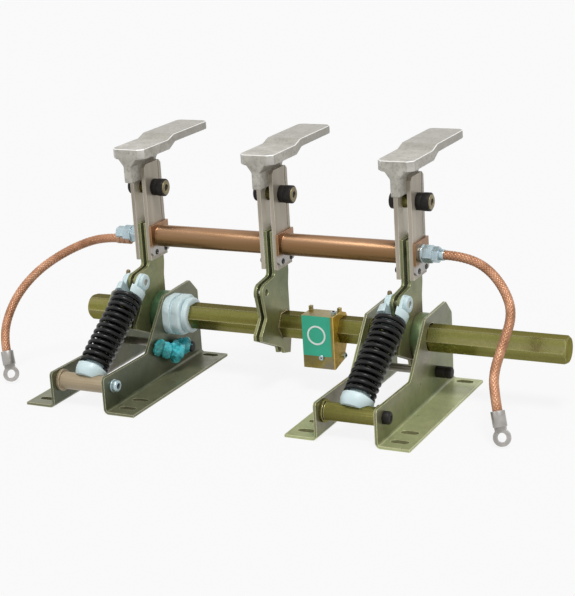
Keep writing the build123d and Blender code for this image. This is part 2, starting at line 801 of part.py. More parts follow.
# Braids: straight runs and tangent arcs, ending in the barrel of a ring lug
for side, route in braid_routes.items():
    points = [Vector(*point) for point in route]
    runs = [(b - a).length for a, b in zip(points, points[1:])]
    turns = [(b - a).get_angle(c - b) for a, b, c in zip(points, points[1:], points[2:])]
    radii = [
        braid_run_share * min(pair) / math.tan(math.radians(turn) / 2)
        for pair, turn in zip(zip(runs, runs[1:]), turns)
    ]
    print("braid", side, "length", round(sum(runs)), "radii", [round(r) for r in radii])
    with BuildPart() as braid:
        with BuildLine() as braid_path:
            FilletPolyline(*points, radius=radii)
        with BuildSketch(Plane(origin=points[0], z_dir=points[1] - points[0])):
            Circle(braid_diameter / 2)
        sweep()
    print("   swept", round(braid.part.volume), "of", round(
        braid_path.wires()[0].length * math.pi * braid_diameter**2 / 4
    ))
    braid.part.label = f"braid_{side}"
    export_step(braid.part, f"parts/braid_{side}.step")

    # Ring lug: round crimp barrel that flattens into a ring standing on its edge
    lug_axis = (points[-1] - points[-2]).normalized()
    ring_centre = points[-1] + lug_axis * (lug_barrel_length + lug_neck)
    lug_facing = Vector(*lug_facings[side])
    lug_facing = (lug_facing - lug_axis * lug_facing.dot(lug_axis)).normalized()
    with BuildPart() as lug:
        with BuildSketch(Plane(origin=points[-1], z_dir=lug_axis)):
            Circle(lug_barrel_diameter / 2)
        extrude(amount=lug_barrel_length)
        palm = Plane(origin=ring_centre, x_dir=lug_axis, z_dir=lug_facing)
        with BuildSketch(palm.offset(-lug_sheet / 2)):
            Circle(lug_ring_diameter / 2)
            with Locations((-lug_neck / 2 - 3, 0)):
                Rectangle(lug_neck + 6, lug_barrel_diameter - 3)
            Circle(lug_hole_diameter / 2, mode=Mode.SUBTRACT)
        extrude(amount=lug_sheet)
    print("   ring centre", ring_centre, "lowest", lug.part.bounding_box().min.Z)
    lug.part.label = f"lug_{side}"
    export_step(lug.part, f"parts/lug_{side}.step")
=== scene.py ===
# %% [markdown]
# A three-pole earthing switch, as it stands closed in a switchgear cubicle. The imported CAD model
# carries every load-bearing plate, shaft and bar. This notebook gives those parts their finishes
# and adds what CAD leaves plain: wound springs, woven braids, nuts, sleeves and the label.

# %% Load the frame and keep its box
import math

import bmesh
import bpy
from mathutils import Matrix, Vector, noise


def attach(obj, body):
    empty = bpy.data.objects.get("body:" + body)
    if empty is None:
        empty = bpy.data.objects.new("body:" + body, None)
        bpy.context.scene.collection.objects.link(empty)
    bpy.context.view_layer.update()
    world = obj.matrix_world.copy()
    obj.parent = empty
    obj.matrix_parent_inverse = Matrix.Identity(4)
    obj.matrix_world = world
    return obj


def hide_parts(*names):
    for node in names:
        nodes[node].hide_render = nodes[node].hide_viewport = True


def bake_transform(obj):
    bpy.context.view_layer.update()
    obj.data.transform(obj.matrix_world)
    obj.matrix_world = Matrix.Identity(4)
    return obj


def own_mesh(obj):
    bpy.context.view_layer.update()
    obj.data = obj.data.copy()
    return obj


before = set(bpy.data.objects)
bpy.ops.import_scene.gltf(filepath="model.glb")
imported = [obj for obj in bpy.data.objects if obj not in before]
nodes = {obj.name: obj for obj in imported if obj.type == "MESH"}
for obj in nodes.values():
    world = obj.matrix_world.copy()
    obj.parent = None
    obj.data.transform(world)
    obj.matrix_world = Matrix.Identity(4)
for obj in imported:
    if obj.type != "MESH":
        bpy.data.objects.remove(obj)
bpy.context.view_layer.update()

# %% [markdown]
# The camera comes first, because everything is judged through it. A product photograph is taken
# with a long lens from a little above. The lens is given for the longer side of the picture,
# which is its height here, as Blender fits a sensor to the longer side by itself.

# %% Place the camera at the photograph's angle
photo_height = 596
focal_pixels = 1643.63
camera_azimuth = math.radians(27.135)
camera_elevation = math.radians(16.589)
camera_roll = math.radians(-3.444)
camera_distance = 2.38811
camera_target = Vector((0.033823, 0.054, 0.130666))


def in_scene(name, data):
    """A new object that holds the data, in the scene."""
    thing = bpy.data.objects.new(name, data)
    bpy.context.scene.collection.objects.link(thing)
    return thing


lens = bpy.data.cameras.new("photo_camera")
lens.sensor_width = 36
lens.lens = focal_pixels / photo_height * lens.sensor_width
lens.clip_start = 0.1
lens.clip_end = 100
camera = in_scene("photo_camera", lens)
turn = Matrix.Rotation(camera_azimuth, 4, "Z") @ Matrix.Rotation(math.pi / 2 - camera_elevation, 4, "X")
turn @= Matrix.Rotation(camera_roll, 4, "Z")
step_back = Matrix.Translation((0, 0, camera_distance))
camera.matrix_world = Matrix.Translation(camera_target) @ turn @ step_back
bpy.context.scene.camera = camera
print("lens", round(lens.lens, 1), "mm, eye at", [round(v, 3) for v in camera.location])

# %% [markdown]
# The measures below are the real part's, in millimetres. Helpers turn them into metres and into
# frames, so that the rest of the notebook can speak in the units of a workshop drawing.

# %% Sizes shared by several pieces
MM = 0.001
shaft_y = 54.0
shaft_z = 91.0
shaft_flats = 35.0
phase_pitch = 210.0
pole_x = {"left": -190.0, "middle": 20.0, "right": 230.0}
pair_x = {"left": -210.0, "right": 210.0}
web_outside = 46.0
tube_z = 212.0
blade_outside = 13.2
blade_inside = 7.2
pivot_y = -122.0
pivot_z = 35.5
crank_pin_y = 3.0
crank_pin_z = 153.0


def at(x, y, z):
    """A point given in millimetres, in metres."""
    return Vector((x, y, z)) * MM


def axis_frame(origin, along, across=None):
    """A matrix whose Z is along the given direction, with its origin at a point in metres."""
    along = Vector(along).normalized()
    hint = Vector(across) if across else Vector((0, 0, 1))
    if abs(along.dot(hint.normalized())) > 0.999:
        hint = Vector((0, 1, 0))
    side = (hint - along * hint.dot(along)).normalized()
    third = along.cross(side)
    return Matrix.Translation(origin) @ Matrix((side, third, along)).transposed().to_4x4()


def along_x(x, y, z, way=1):
    """The frame of a part that lies along X, at a point in millimetres."""
    return axis_frame(at(x, y, z), (way, 0, 0))


# %% [markdown]
# Finishes, floor, world, springs and braids are all node trees, so one class does the wiring for
# them: it adds a node, sets it up and feeds its inputs, by value or from another node's output.
# An output is wrapped so that a formula can be written as one, with a maths node for each sign.

# %% Helpers for every node tree
def worked_by(operation):
    """A method that leaves its sum to a maths node."""
    return lambda *terms: terms[0].wiring.maths(operation, *terms)


class Value:
    """A node's output, which takes part in sums as a number does."""

    def __init__(self, wiring, socket):
        self.wiring = wiring
        self.socket = socket

    __add__ = worked_by("ADD")
    __sub__ = worked_by("SUBTRACT")
    __mul__ = worked_by("MULTIPLY")
    __truediv__ = worked_by("DIVIDE")
    __mod__ = worked_by("MODULO")
    __lt__ = worked_by("LESS_THAN")
    __gt__ = worked_by("GREATER_THAN")
    __abs__ = worked_by("ABSOLUTE")


class Wiring:
    """A node tree with short ways of adding nodes and feeding their inputs."""

    def __init__(self, tree):
        self.tree = tree

    def feed(self, socket, source):
        """Joins an output to an input, or sets the input to a number, a vector or a colour."""
        source = getattr(source, "socket", source)
        if isinstance(source, bpy.types.NodeSocket):
            self.tree.links.new(source, socket)
        elif socket.type == "RGBA":
            socket.default_value = (*source, 1)
        else:
            socket.default_value = source

    def add(self, kind, inputs=(), **settings):
        """A new node with its settings, and its inputs by name or number."""
        node = self.tree.nodes.new(kind)
        for key, value in settings.items():
            setattr(node, key, value)
        for key, source in dict(inputs).items():
            self.feed(node.inputs[key], source)
        return node

    def value(self, key, kind, inputs=(), **settings):
        """One output of a new node."""
        return Value(self, self.add(kind, inputs, **settings).outputs[key])

    def maths(self, operation, *terms):
        return self.value(0, "ShaderNodeMath", enumerate(terms), operation=operation)

    def larger(self, first, second):
        return self.maths("MAXIMUM", first, second)

    def parts(self, vector):
        """The X, Y and Z of a vector."""
        outputs = self.add("ShaderNodeSeparateXYZ", {0: vector}).outputs
        return {axis: Value(self, outputs[axis]) for axis in "XYZ"}


# %% [markdown]
# Finishes are small node trees. Each one starts from the same skeleton: a principled shader, a
# cloudy noise that shifts the colour between a few tones, a finer noise for roughness, and a
# bump. The Bevel node finds edges, which are painted a lighter tone: partly thicker plating or
# paint rubbed off, partly a painted highlight.

# %% A helper for finishes
class Finish(Wiring):
    """A material with a principled shader, and the patterns that make its look."""

    def __init__(self, name, colour, metallic, roughness):
        self.material = bpy.data.materials.new(name)
        self.material.use_nodes = True
        super().__init__(self.material.node_tree)
        self.shader = self.tree.nodes["Principled BSDF"].inputs
        for label, value in (("Base Color", colour), ("Metallic", metallic), ("Roughness", roughness)):
            self.feed(self.shader[label], value)
        coordinates = self.add("ShaderNodeTexCoord").outputs
        self.place = coordinates["Object"]
        self.along = self.parts(self.place)
        self.facing = self.parts(coordinates["Normal"])

    def noise(self, scale, detail=4.0, grain=0.55, stretch=(1, 1, 1)):
        """Cloudy noise on object coordinates; a stretch under 1 draws it out along an axis."""
        place = self.value(0, "ShaderNodeMapping", {"Vector": self.place, "Scale": stretch})
        sizes = {"Vector": place, "Scale": scale, "Detail": detail, "Roughness": grain}
        return self.value("Fac", "ShaderNodeTexNoise", sizes)

    def clouds(self, scale, *stops, **look):
        """Cloudy colours. A stop is a place between 0 and 1 and its colour."""
        ramp = self.add("ShaderNodeValToRGB", {"Fac": self.noise(scale, **look)})
        elements = ramp.color_ramp.elements
        for element, (place, colour) in zip(elements, (stops[0], stops[-1])):
            element.position = place
            element.color = (*colour, 1)
        for place, colour in stops[1:-1]:
            elements.new(place).color = (*colour, 1)
        return ramp.outputs["Color"]

    def span(self, value, low, high, start=0.3, end=0.7):
        """A value rescaled from start..end to low..high."""
        ends = {"Value": value, "From Min": start, "From Max": end, "To Min": low, "To Max": high}
        return self.value("Result", "ShaderNodeMapRange", ends)

    def blend(self, share, first, second, mode="MIX"):
        """Two colours mixed by a share, each an output or a plain colour."""
        both = {"Factor": share, 6: first, 7: second}
        return self.value(2, "ShaderNodeMix", both, data_type="RGBA", blend_type=mode)

    def shade(self, film, scale, start, tone, end, **look):
        """A colour times clouds that go from a tone up to white."""
        return self.blend(1.0, film, self.clouds(scale, (start, tone), (end, (1, 1, 1)), **look), "MULTIPLY")

    def edge_wear_and_highlight(self, film, tone, width, start=0.01, end=0.14):
        """A colour with a lighter tone on edges, where rounding by a width would turn the normal: partly
        wear, partly a painted highlight.
        """
        bevel = self.value("Normal", "ShaderNodeBevel", {"Radius": width * MM}, samples=6)
        flat = self.value("Normal", "ShaderNodeNewGeometry")
        alike = self.value("Value", "ShaderNodeVectorMath", {0: bevel, 1: flat}, operation="DOT_PRODUCT")
        return self.blend(self.span(self.maths("SUBTRACT", 1, alike), 0.0, 0.9, start, end), film, tone)

    def dress(self, colour, rough, bump, detail=4.0, **look):
        """Ends the finish. Rough is (scale, low, high), bump is (scale, depth in mm, strength)."""
        patches = self.noise(rough[0], detail, **look)
        pores = self.noise(bump[0], detail - 1, **look)
        relief = {"Height": pores, "Distance": bump[1] * MM, "Strength": bump[2]}
        self.feed(self.shader["Base Color"], colour)
        self.feed(self.shader["Roughness"], self.span(patches, *rough[1:]))
        self.feed(self.shader["Normal"], self.value("Normal", "ShaderNodeBump", relief))
        return self.material


# %% [markdown]
# Most plates and the shaft are zinc plated and then dipped in a yellow chromate bath. The thin
# film shines olive, gold, green and a little pink in slow patches, and its edges are painted
# yellower, partly for a thicker film and partly as a painted highlight. Four tones in one colour
# ramp over a wide noise give that drift. On the bar the patches are drawn out along its length.
# A zone gives a height or a side a tone of its own; the shaft's zones are a painted shade and a
# painted sheen, and the indicator's is painted light.

# %% Passivated zinc
def passivated(
    name, tones, edge_tone, roughness=0.34, scale=9.0, stretch=(1, 1, 1), metallic=0.5, edge=1.2, zones=()
):
    """Chromate film from four tones. A zone is (axis, from, to, share, tone), in millimetres."""
    finish = Finish(name, tones[1], metallic, roughness)
    stops = [(0.32 + 0.36 * i / (len(tones) - 1), tone) for i, tone in enumerate(tones)]
    film = finish.clouds(scale, *stops, detail=3.0, grain=0.5, stretch=stretch)
    for axis, start, end, share, tone in zones:
        within = finish.span(finish.along[axis], 0.0, share, start * MM, end * MM)
        film = finish.blend(within, film, tone)
    film = finish.shade(film, 55, 0.35, (0.84, 0.86, 0.84), 0.65, grain=0.6, stretch=stretch)
    film = finish.shade(film, 260, 0.3, (0.84, 0.84, 0.84), 0.7, detail=5.0, grain=0.6)
    # Painted highlight, with some wear: edges get a lighter tone
    film = finish.edge_wear_and_highlight(film, edge_tone, edge)
    return finish.dress(film, (60, roughness - 0.07, roughness + 0.1), (420, 0.3, 0.12))


plate_zinc = passivated(
    "plate_zinc",
    [(0.075, 0.095, 0.055), (0.105, 0.12, 0.065), (0.14, 0.145, 0.075), (0.16, 0.135, 0.095)],
    (0.62, 0.6, 0.4),
    metallic=0.4,
    edge=1.9,
    zones=[("Z", 45, 120, 0.75, (0.235, 0.235, 0.15)), ("Z", 5.5, 4.2, 0.8, (0.235, 0.235, 0.14))],
)
pale_zinc = passivated(
    "pale_zinc",
    [(0.15, 0.19, 0.085), (0.215, 0.235, 0.105), (0.27, 0.28, 0.13), (0.255, 0.225, 0.15)],
    (0.85, 0.84, 0.5),
    metallic=0.4,
    edge=1.9,
    zones=[("Z", 60, 120, 0.75, (0.215, 0.215, 0.15)), ("Z", 5.5, 4.2, 0.85, (0.56, 0.59, 0.31))],
)
shaft_zinc = passivated(
    "shaft_zinc",
    [(0.095, 0.084, 0.018), (0.15, 0.13, 0.032), (0.215, 0.205, 0.055), (0.27, 0.235, 0.11)],
    (0.44, 0.41, 0.24),
    roughness=0.25,
    scale=40.0,
    stretch=(0.035, 1, 1),
    metallic=0.8,
    edge=3.0,
    # Painted shade: the top facet is painted darker. Painted sheen: a lighter olive from X 150 to 260 mm.
    # The wide edge tone paints a highlight line along the corners.
    zones=[("Z", 106.6, 107.8, 0.85, (0.11, 0.098, 0.036)), ("X", 150, 260, 0.3, (0.4, 0.38, 0.13))],
)
crank_zinc = passivated(
    "crank_zinc",
    [(0.17, 0.205, 0.085), (0.235, 0.25, 0.11), (0.285, 0.285, 0.125), (0.3, 0.24, 0.15)],
    (0.72, 0.68, 0.44),
    edge=1.8,
)
gold_zinc = passivated(
    "gold_zinc",
    [(0.2, 0.16, 0.045), (0.29, 0.21, 0.04), (0.32, 0.265, 0.09), (0.26, 0.22, 0.14)],
    (0.64, 0.6, 0.38),
    roughness=0.3,
    scale=16.0,
    edge=1.3,
    # Painted light: the indicator's right cheek, beyond X 119.6 mm, is painted a bright gold.
    zones=[("X", 118.6, 119.6, 0.95, (0.9, 0.56, 0.07))],
)
disc_zinc = passivated(
    "disc_zinc",
    [(0.045, 0.105, 0.05), (0.075, 0.15, 0.07), (0.11, 0.19, 0.09), (0.17, 0.2, 0.09)],
    (0.32, 0.38, 0.2),
    roughness=0.42,
)


def set_shader(material, label, value):
    """Sets an input of the shader that holds all over the surface."""
    material.node_tree.nodes["Principled BSDF"].inputs[label].default_value = value


set_shader(shaft_zinc, "Specular Tint", (0.50, 0.46, 0.24, 1))
print("zinc finishes made")

# %% [markdown]
# The rest are steel, silver-plated and tinned metal, copper and rubber. Each is a cloudy mix of
# two tones. The blades are brushed from end to end, so their noise is drawn out along Z, and
# their inner faces look at each other and light each other up, so they get a paler tone.

# %% Plain metals and rubbers
def from_nearest_pole(finish):
    """The distance from the nearest pole's middle along X, in metres."""
    place = finish.along["X"] + (1.5 * phase_pitch - pole_x["middle"]) * MM
    return abs(place % (phase_pitch * MM) - phase_pitch / 2 * MM)


def plain_metal(
    name, low, high, roughness, edge_tone=None, metallic=0.6, scale=60, stretch=(1, 1, 1), inside=None
):
    """Metal of two tones. The tone inside is for faces that look at each other across a pole."""
    finish = Finish(name, high, metallic, roughness)
    look = {"grain": 0.6, "stretch": stretch}
    film = finish.clouds(scale, (0.3, low), (0.7, high), **look)
    if inside:
        film = finish.blend(from_nearest_pole(finish) < (blade_inside + 0.3) * MM, film, inside)
    if edge_tone:
        film = finish.edge_wear_and_highlight(film, edge_tone, 1.2)
    rough = (scale * 3, roughness - 0.06, roughness + 0.1)
    return finish.dress(film, rough, (scale * 12, 0.4, 0.15), **look)


blade_metal = plain_metal(
    "blade_metal",
    (0.36, 0.32, 0.25),
    (0.52, 0.46, 0.37),
    0.36,
    (0.84, 0.8, 0.72),
    metallic=0.3,
    scale=42,
    stretch=(1, 1, 0.06),
    inside=(0.86, 0.81, 0.72),
)
nut_zinc = plain_metal("nut_zinc", (0.34, 0.44, 0.48), (0.56, 0.7, 0.75), 0.26, (0.8, 0.86, 0.88))
tinned = plain_metal("tinned", (0.3, 0.28, 0.26), (0.46, 0.44, 0.42), 0.33, (0.78, 0.77, 0.75))
pin_steel = plain_metal("pin_steel", (0.2, 0.19, 0.15), (0.32, 0.3, 0.24), 0.34, (0.55, 0.53, 0.46))
end_bronze = plain_metal("end_bronze", (0.17, 0.14, 0.07), (0.29, 0.24, 0.12), 0.34, (0.6, 0.5, 0.3), 0.5)
crimp_copper = plain_metal("crimp_copper", (0.34, 0.17, 0.09), (0.54, 0.3, 0.19), 0.32, (0.8, 0.56, 0.4))
weld_steel = plain_metal(
    "weld_steel", (0.1, 0.065, 0.03), (0.24, 0.19, 0.09), 0.36, (0.42, 0.36, 0.2), scale=120
)
spacer_beige = plain_metal(
    "spacer_beige", (0.33, 0.26, 0.16), (0.47, 0.38, 0.25), 0.34, (0.66, 0.58, 0.44), 0.3, 30, (0.3, 1, 1)
)
rubber = plain_metal("rubber", (0.006, 0.005, 0.004), (0.014, 0.012, 0.01), 0.5, None, 0.0, 80)
thread_black = plain_metal("thread_black", (0.01, 0.01, 0.009), (0.03, 0.028, 0.024), 0.4, None, 0.2, 90)
spring_black = plain_metal("spring_black", (0.004, 0.004, 0.004), (0.01, 0.011, 0.01), 0.3, None, 0.0, 50)
for black in (spring_black, rubber, thread_black):
    set_shader(black, "Specular IOR Level", 0.28)
print("metals and rubbers made")

# %% [markdown]
# The fixed contacts are cast and silver-plated. Their upper corners are broken all round, and
# their shine is a painted highlight, a near-white rim. A surface that faces none of the object's
# own axes is such a corner, so the largest part of its normal finds it, just under the top. To
# the rear the plates grow darker.

# %% Cast contact metal with painted highlights on its upper rims
contact = Finish("contact_metal", (0.5, 0.48, 0.42), 0.3, 0.4)
cast = contact.clouds(48, (0.3, (0.4, 0.38, 0.33)), (0.7, (0.57, 0.55, 0.49)))
cast = contact.shade(cast, 230, 0.36, (0.72, 0.71, 0.69), 0.5, detail=5.0, grain=0.65)
cast = contact.blend(contact.span(contact.along["Y"], 0.0, 0.5, 0.05, 0.11), cast, (0.3, 0.285, 0.25))
x, y, z = (abs(side) for side in contact.facing.values())
largest = contact.larger(contact.larger(x, y), z)
slanted = contact.span(contact.maths("SUBTRACT", 1, largest), 0.0, 1.0, 0.055, 0.16)
under_top = contact.span(contact.along["Z"], 0.0, 1.0, 0.3362, 0.3372)
upward = contact.span(contact.facing["Z"], 0.25, 1.0, 0.1, 0.3)
# Painted highlight: slanted faces just under the top are painted near white.
cast = contact.blend(slanted * (under_top * upward), cast, (1.0, 0.99, 0.96))
contact_metal = contact.dress(cast, (150, 0.33, 0.5), (520, 0.4, 0.2))
print("contact finish made")

# %% [markdown]
# The tube and its end flanges are one piece of copper, drawn along X. Only the flanges' lower
# ends, where they are bolted to the blades, are tinned. A mask finds them: the distance from the
# nearest pole, from a modulo of X by the phase pitch, and a wavy dip line in height.

# %% Copper tube with tinned feet on its flanges
flange_reach = 17.9
copper = Finish("tube_copper", (0.42, 0.22, 0.12), 0.75, 0.27)
drawn = {"grain": 0.6, "stretch": (0.06, 1, 1)}
copper_tone = copper.clouds(
    30,
    (0.3, (0.205, 0.1, 0.045)),
    (0.46, (0.33, 0.17, 0.085)),
    (0.6, (0.46, 0.275, 0.175)),
    (0.72, (0.27, 0.135, 0.06)),
    **drawn,
)
# Painted shade: the tube is painted darker towards its underside.
underside_shade = copper.span(copper.along["Z"], 0.95, 0.0, 0.208, 0.237)
copper_tone = copper.blend(underside_shade, copper_tone, (0.205, 0.115, 0.042))
copper_tone = copper.edge_wear_and_highlight(copper_tone, (0.78, 0.48, 0.28), 1.1, 0.02, 0.25)
dipped = copper.span(copper.along["Z"] + copper.noise(60) * 0.006, 1.0, 0.0, 0.2, 0.205)
tinned_share = (from_nearest_pole(copper) < flange_reach * MM) * dipped
copper_tone = copper.blend(tinned_share, copper_tone, (0.4, 0.38, 0.36))
tube_copper = copper.dress(copper_tone, (90, 0.22, 0.38), (360, 0.4, 0.15), **drawn)
print("copper finish made")

# %% [markdown]
# Nylon lets a little light in, which subsurface gives. The braid's copper is a soft mix of three
# browns, because its strands make their own pattern, and the label is a printed green sheet.

# %% Nylon, braided copper, label and ring
plastic = Finish("nylon", (0.7, 0.79, 0.8), 0.0, 0.4)
milky = plastic.clouds(28, (0.3, (0.56, 0.7, 0.72)), (0.7, (0.71, 0.84, 0.86)), detail=3.0)
nylon = plastic.dress(milky, (140, 0.34, 0.5), (260, 0.3, 0.15))
set_shader(nylon, "Subsurface Weight", 0.12)
set_shader(nylon, "Subsurface Radius", (0.003, 0.003, 0.003))

strands = Finish("braid_copper", (0.5, 0.26, 0.16), 0.55, 0.4)
browns = ((0.3, (0.3, 0.14, 0.07)), (0.52, (0.48, 0.24, 0.135)), (0.7, (0.62, 0.35, 0.215)))
braid_copper = strands.dress(strands.clouds(34, *browns), (200, 0.32, 0.5), (1500, 0.3, 0.3), 3.0)


def printed(name, colour, roughness, scale, low, high):
    """A smooth printed film whose colour hardly drifts."""
    finish = Finish(name, colour, 0.0, roughness)
    finish.feed(finish.shader["Base Color"], finish.clouds(scale, (0.3, low), (0.7, high), detail=3.0))
    return finish.material


label_green = printed("label_green", (0.03, 0.46, 0.29), 0.35, 18, (0.022, 0.42, 0.25), (0.036, 0.52, 0.34))
label_white = printed("label_white", (0.82, 0.88, 0.84), 0.4, 90, (0.8, 0.88, 0.84), (0.9, 0.95, 0.92))
print("materials", len(bpy.data.materials))

# %% [markdown]
# CAD edges are knife sharp, but real plates have a small broken edge that catches the light.
# A CAD mesh may not be edited, yet a modifier leaves its data alone. Weld joins its loose
# triangles, Decimate's dissolve makes whole faces of them, and Bevel breaks the edges.

# %% Give the CAD nodes their finishes and broken edges
finish_of = {
    "bracket_left": (plate_zinc, 0.5),
    "bracket_right": (pale_zinc, 0.5),
    "bearing_disc": (disc_zinc, 0.5),
    "bearing_block": (nylon, 1.4),
    "pivot_pin": (pin_steel, 0.6),
    "pivot_spacer": (shaft_zinc, 0.5),
    "pivot_spacer_left": (spacer_beige, 0.5),
    "stop_rod": (pin_steel, 0.6),
    "fixed_contact": (contact_metal, 1.8),
    "main_shaft": (shaft_zinc, 2.0),
    "crank_pin": (pin_steel, 0.6),
    "crank": (crank_zinc, 0.5),
    "blades": (blade_metal, 0.35),
    "contact_tube": (tube_copper, 0.5),
    "terminal_plate": (tube_copper, 0.5),
    "tie_rod": (nut_zinc, 0.5),
    "terminal_nut": (nut_zinc, 0.6),
    "clamp_bolt": (rubber, 0.8),
    "position_indicator": (gold_zinc, 0.4),
    "spring_seat": (nylon, 1.2),
    "spring_fork": (nylon, 1.5),
    "coil_spring": (spring_black, 0.0),
    "braid": (braid_copper, 0.0),
    "lug": (tinned, 0.7),
}


def break_edges(thing, width):
    """Weld, dissolve and bevel modifiers, the width in millimetres."""
    weld = thing.modifiers.new("weld", "WELD")
    weld.merge_threshold = 0.00001
    whole = thing.modifiers.new("whole_faces", "DECIMATE")
    whole.decimate_type = "DISSOLVE"
    whole.angle_limit = math.radians(1.0)
    bevel = thing.modifiers.new("broken_edges", "BEVEL")
    bevel.width = width * MM
    bevel.segments = 2
    bevel.limit_method = "ANGLE"
    bevel.angle_limit = math.radians(35)
    bevel.use_clamp_overlap = True
    bevel.harden_normals = True


for name, node in nodes.items():
    key = max((k for k in finish_of if name.startswith(k)), key=len)
    material, width = finish_of[key]
    node.data.materials.clear()
    node.data.materials.append(material)
    if width:
        break_edges(node, width)
print("finished nodes", len(nodes))

# %% [markdown]
# New pieces are meshes built in code. Turned parts, such as washers, sleeves and ferrules, are
# lathed: an outline of radius and height is swept round an axis, with its corners rounded. A
# piece of several such bars is written as rows of sizes, each in the frame that it lies in.

# %% Helpers for turned pieces and nuts
def new_piece(name, mesh, materials, body=None, smooth=True):
    """Links a mesh as a piece of the object, gives it its materials and rides it on a body."""
    painted = [min(polygon.material_index, len(materials) - 1) for polygon in mesh.polygons]
    mesh.materials.clear()
    for material in materials:
        mesh.materials.append(material)
    mesh.polygons.foreach_set("material_index", painted)
    mesh.polygons.foreach_set("use_smooth", [smooth] * len(painted))
    piece = in_scene(name, mesh)
    if body:
        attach(piece, body)
    return piece


def shaped_piece(name, shape, materials, body, place=None, crease=None, smooth=True):
    """A bmesh made a piece: its doubles merged, moved to its place, with its normals outwards."""
    bmesh.ops.remove_doubles(shape, verts=shape.verts, dist=1e-7)
    if place:
        bmesh.ops.transform(shape, matrix=place, verts=shape.verts)
    bmesh.ops.recalc_face_normals(shape, faces=shape.faces)
    mesh = bpy.data.meshes.new(name)
    shape.to_mesh(mesh)
    shape.free()
    if crease:
        mesh.set_sharp_from_angle(angle=math.radians(crease))
    return new_piece(name, mesh, materials, body, smooth)


def loft(shape, layers, paint=0, base=0.0, turn=0.0, closed=False):
    """Joins rings of (radius, height) points, in millimetres. A ring of one point is a tip."""
    rings = []
    for layer in layers:
        rings.append([])
        for i, (radius, height) in enumerate(layer):
            angle = 2 * math.pi * i / len(layer) + turn
            point = (radius * MM * math.cos(angle), radius * MM * math.sin(angle), (height + base) * MM)
            rings[-1].append(shape.verts.new(point))
    if closed:
        rings.append(rings[0])
    for low, high in zip(rings, rings[1:]):
        steps = max(len(low), len(high))
        for i in range(steps):
            j = (i + 1) % steps
            corners = (low[i % len(low)], low[j % len(low)], high[j % len(high)], high[i % len(high)])
            shape.faces.new(list(dict.fromkeys(corners))).material_index = paint


def lathe(shape, outline, steps=48, paint=0):
    """Sweeps an outline of (radius, height) pairs round Z. A radius of 0 is a tip."""
    loft(shape, [[point] * (steps if point[0] else 1) for point in outline], paint)


def turned_bar(shape, diameter, start, end, paint=0, low_edge=0.5, high_edge=0.5, recess=None):
    """A short bar with rounded ends. A recess is (diameter, depth, paint) in its far end."""
    radius = diameter / 2
    arc = [(math.sin(turn), math.cos(turn)) for turn in (math.pi / 2 * i / 3 for i in range(4))]
    outline = [(0, start)]
    outline += [(radius - low_edge * (1 - s), start + low_edge * (1 - c)) for s, c in arc]
    outline += [(radius - high_edge * (1 - c), end - high_edge * (1 - s)) for s, c in arc]
    if recess:
        across, depth, inside = recess
        outline += [(across / 2, end), (across / 2, end - depth)]
        lathe(shape, outline, paint=paint)
        lathe(shape, [(across / 2, end - depth), (0, end - depth)], paint=inside)
    else:
        lathe(shape, outline + [(0, end)], paint=paint)


def hex_nut(shape, flats, height, bore, base=0.0, turn=0.0, steps=60):
    """Adds a nut whose corners are turned off at both ends, as real ones are."""
    face = flats / 2
    turned = face * 1.02
    slope = math.tan(math.radians(30))
    turns = [(2 * math.pi * i / steps + math.pi / 6) % (math.pi / 3) - math.pi / 6 for i in range(steps)]
    reach = [face / math.cos(from_flat) for from_flat in turns]
    drop = [max(0.0, (r - turned) * slope) for r in reach]
    layers = [
        [(bore / 2, 0.0)] * steps,
        [(min(r, turned), 0.0) for r in reach],
        list(zip(reach, drop)),
        [(r, height - d) for r, d in zip(reach, drop)],
        [(min(r, turned), height) for r in reach],
        [(bore / 2, height)] * steps,
    ]
    loft(shape, layers, 0, base, turn, closed=True)


def turned_set(name, materials, body, groups, node=None, crease=30):
    """A piece of bars and nuts that rides on a body, which may replace a node. A group is a frame and its
    rows.

    A row is a turned bar: diameter, start, end, paint, roundings of both ends, recess. One that
    begins with "nut" is a nut: flats, height, bore, start, turn.
    """
    shape = bmesh.new()
    for place, rows in groups:
        before = len(shape.verts)
        for row in rows:
            if row[0] == "nut":
                hex_nut(shape, *row[1:])
            else:
                turned_bar(shape, *row)
        shape.verts.ensure_lookup_table()
        bmesh.ops.transform(shape, matrix=place, verts=shape.verts[before:])
    piece = shaped_piece(name, shape, materials, body, None, crease)
    if node:
        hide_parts(node)


# %% [markdown]
# The tie rod's ends carry stacks of washers and nuts, and each braid ends in a copper ferrule. A
# stack is a list of rows, each a kind, a size and a length, built outwards from the blade. The
# nuts are turned a little from each other, as nuts tightened by hand are. The left braid leaves
# below the rod, from a ferrule with two crimped necks.

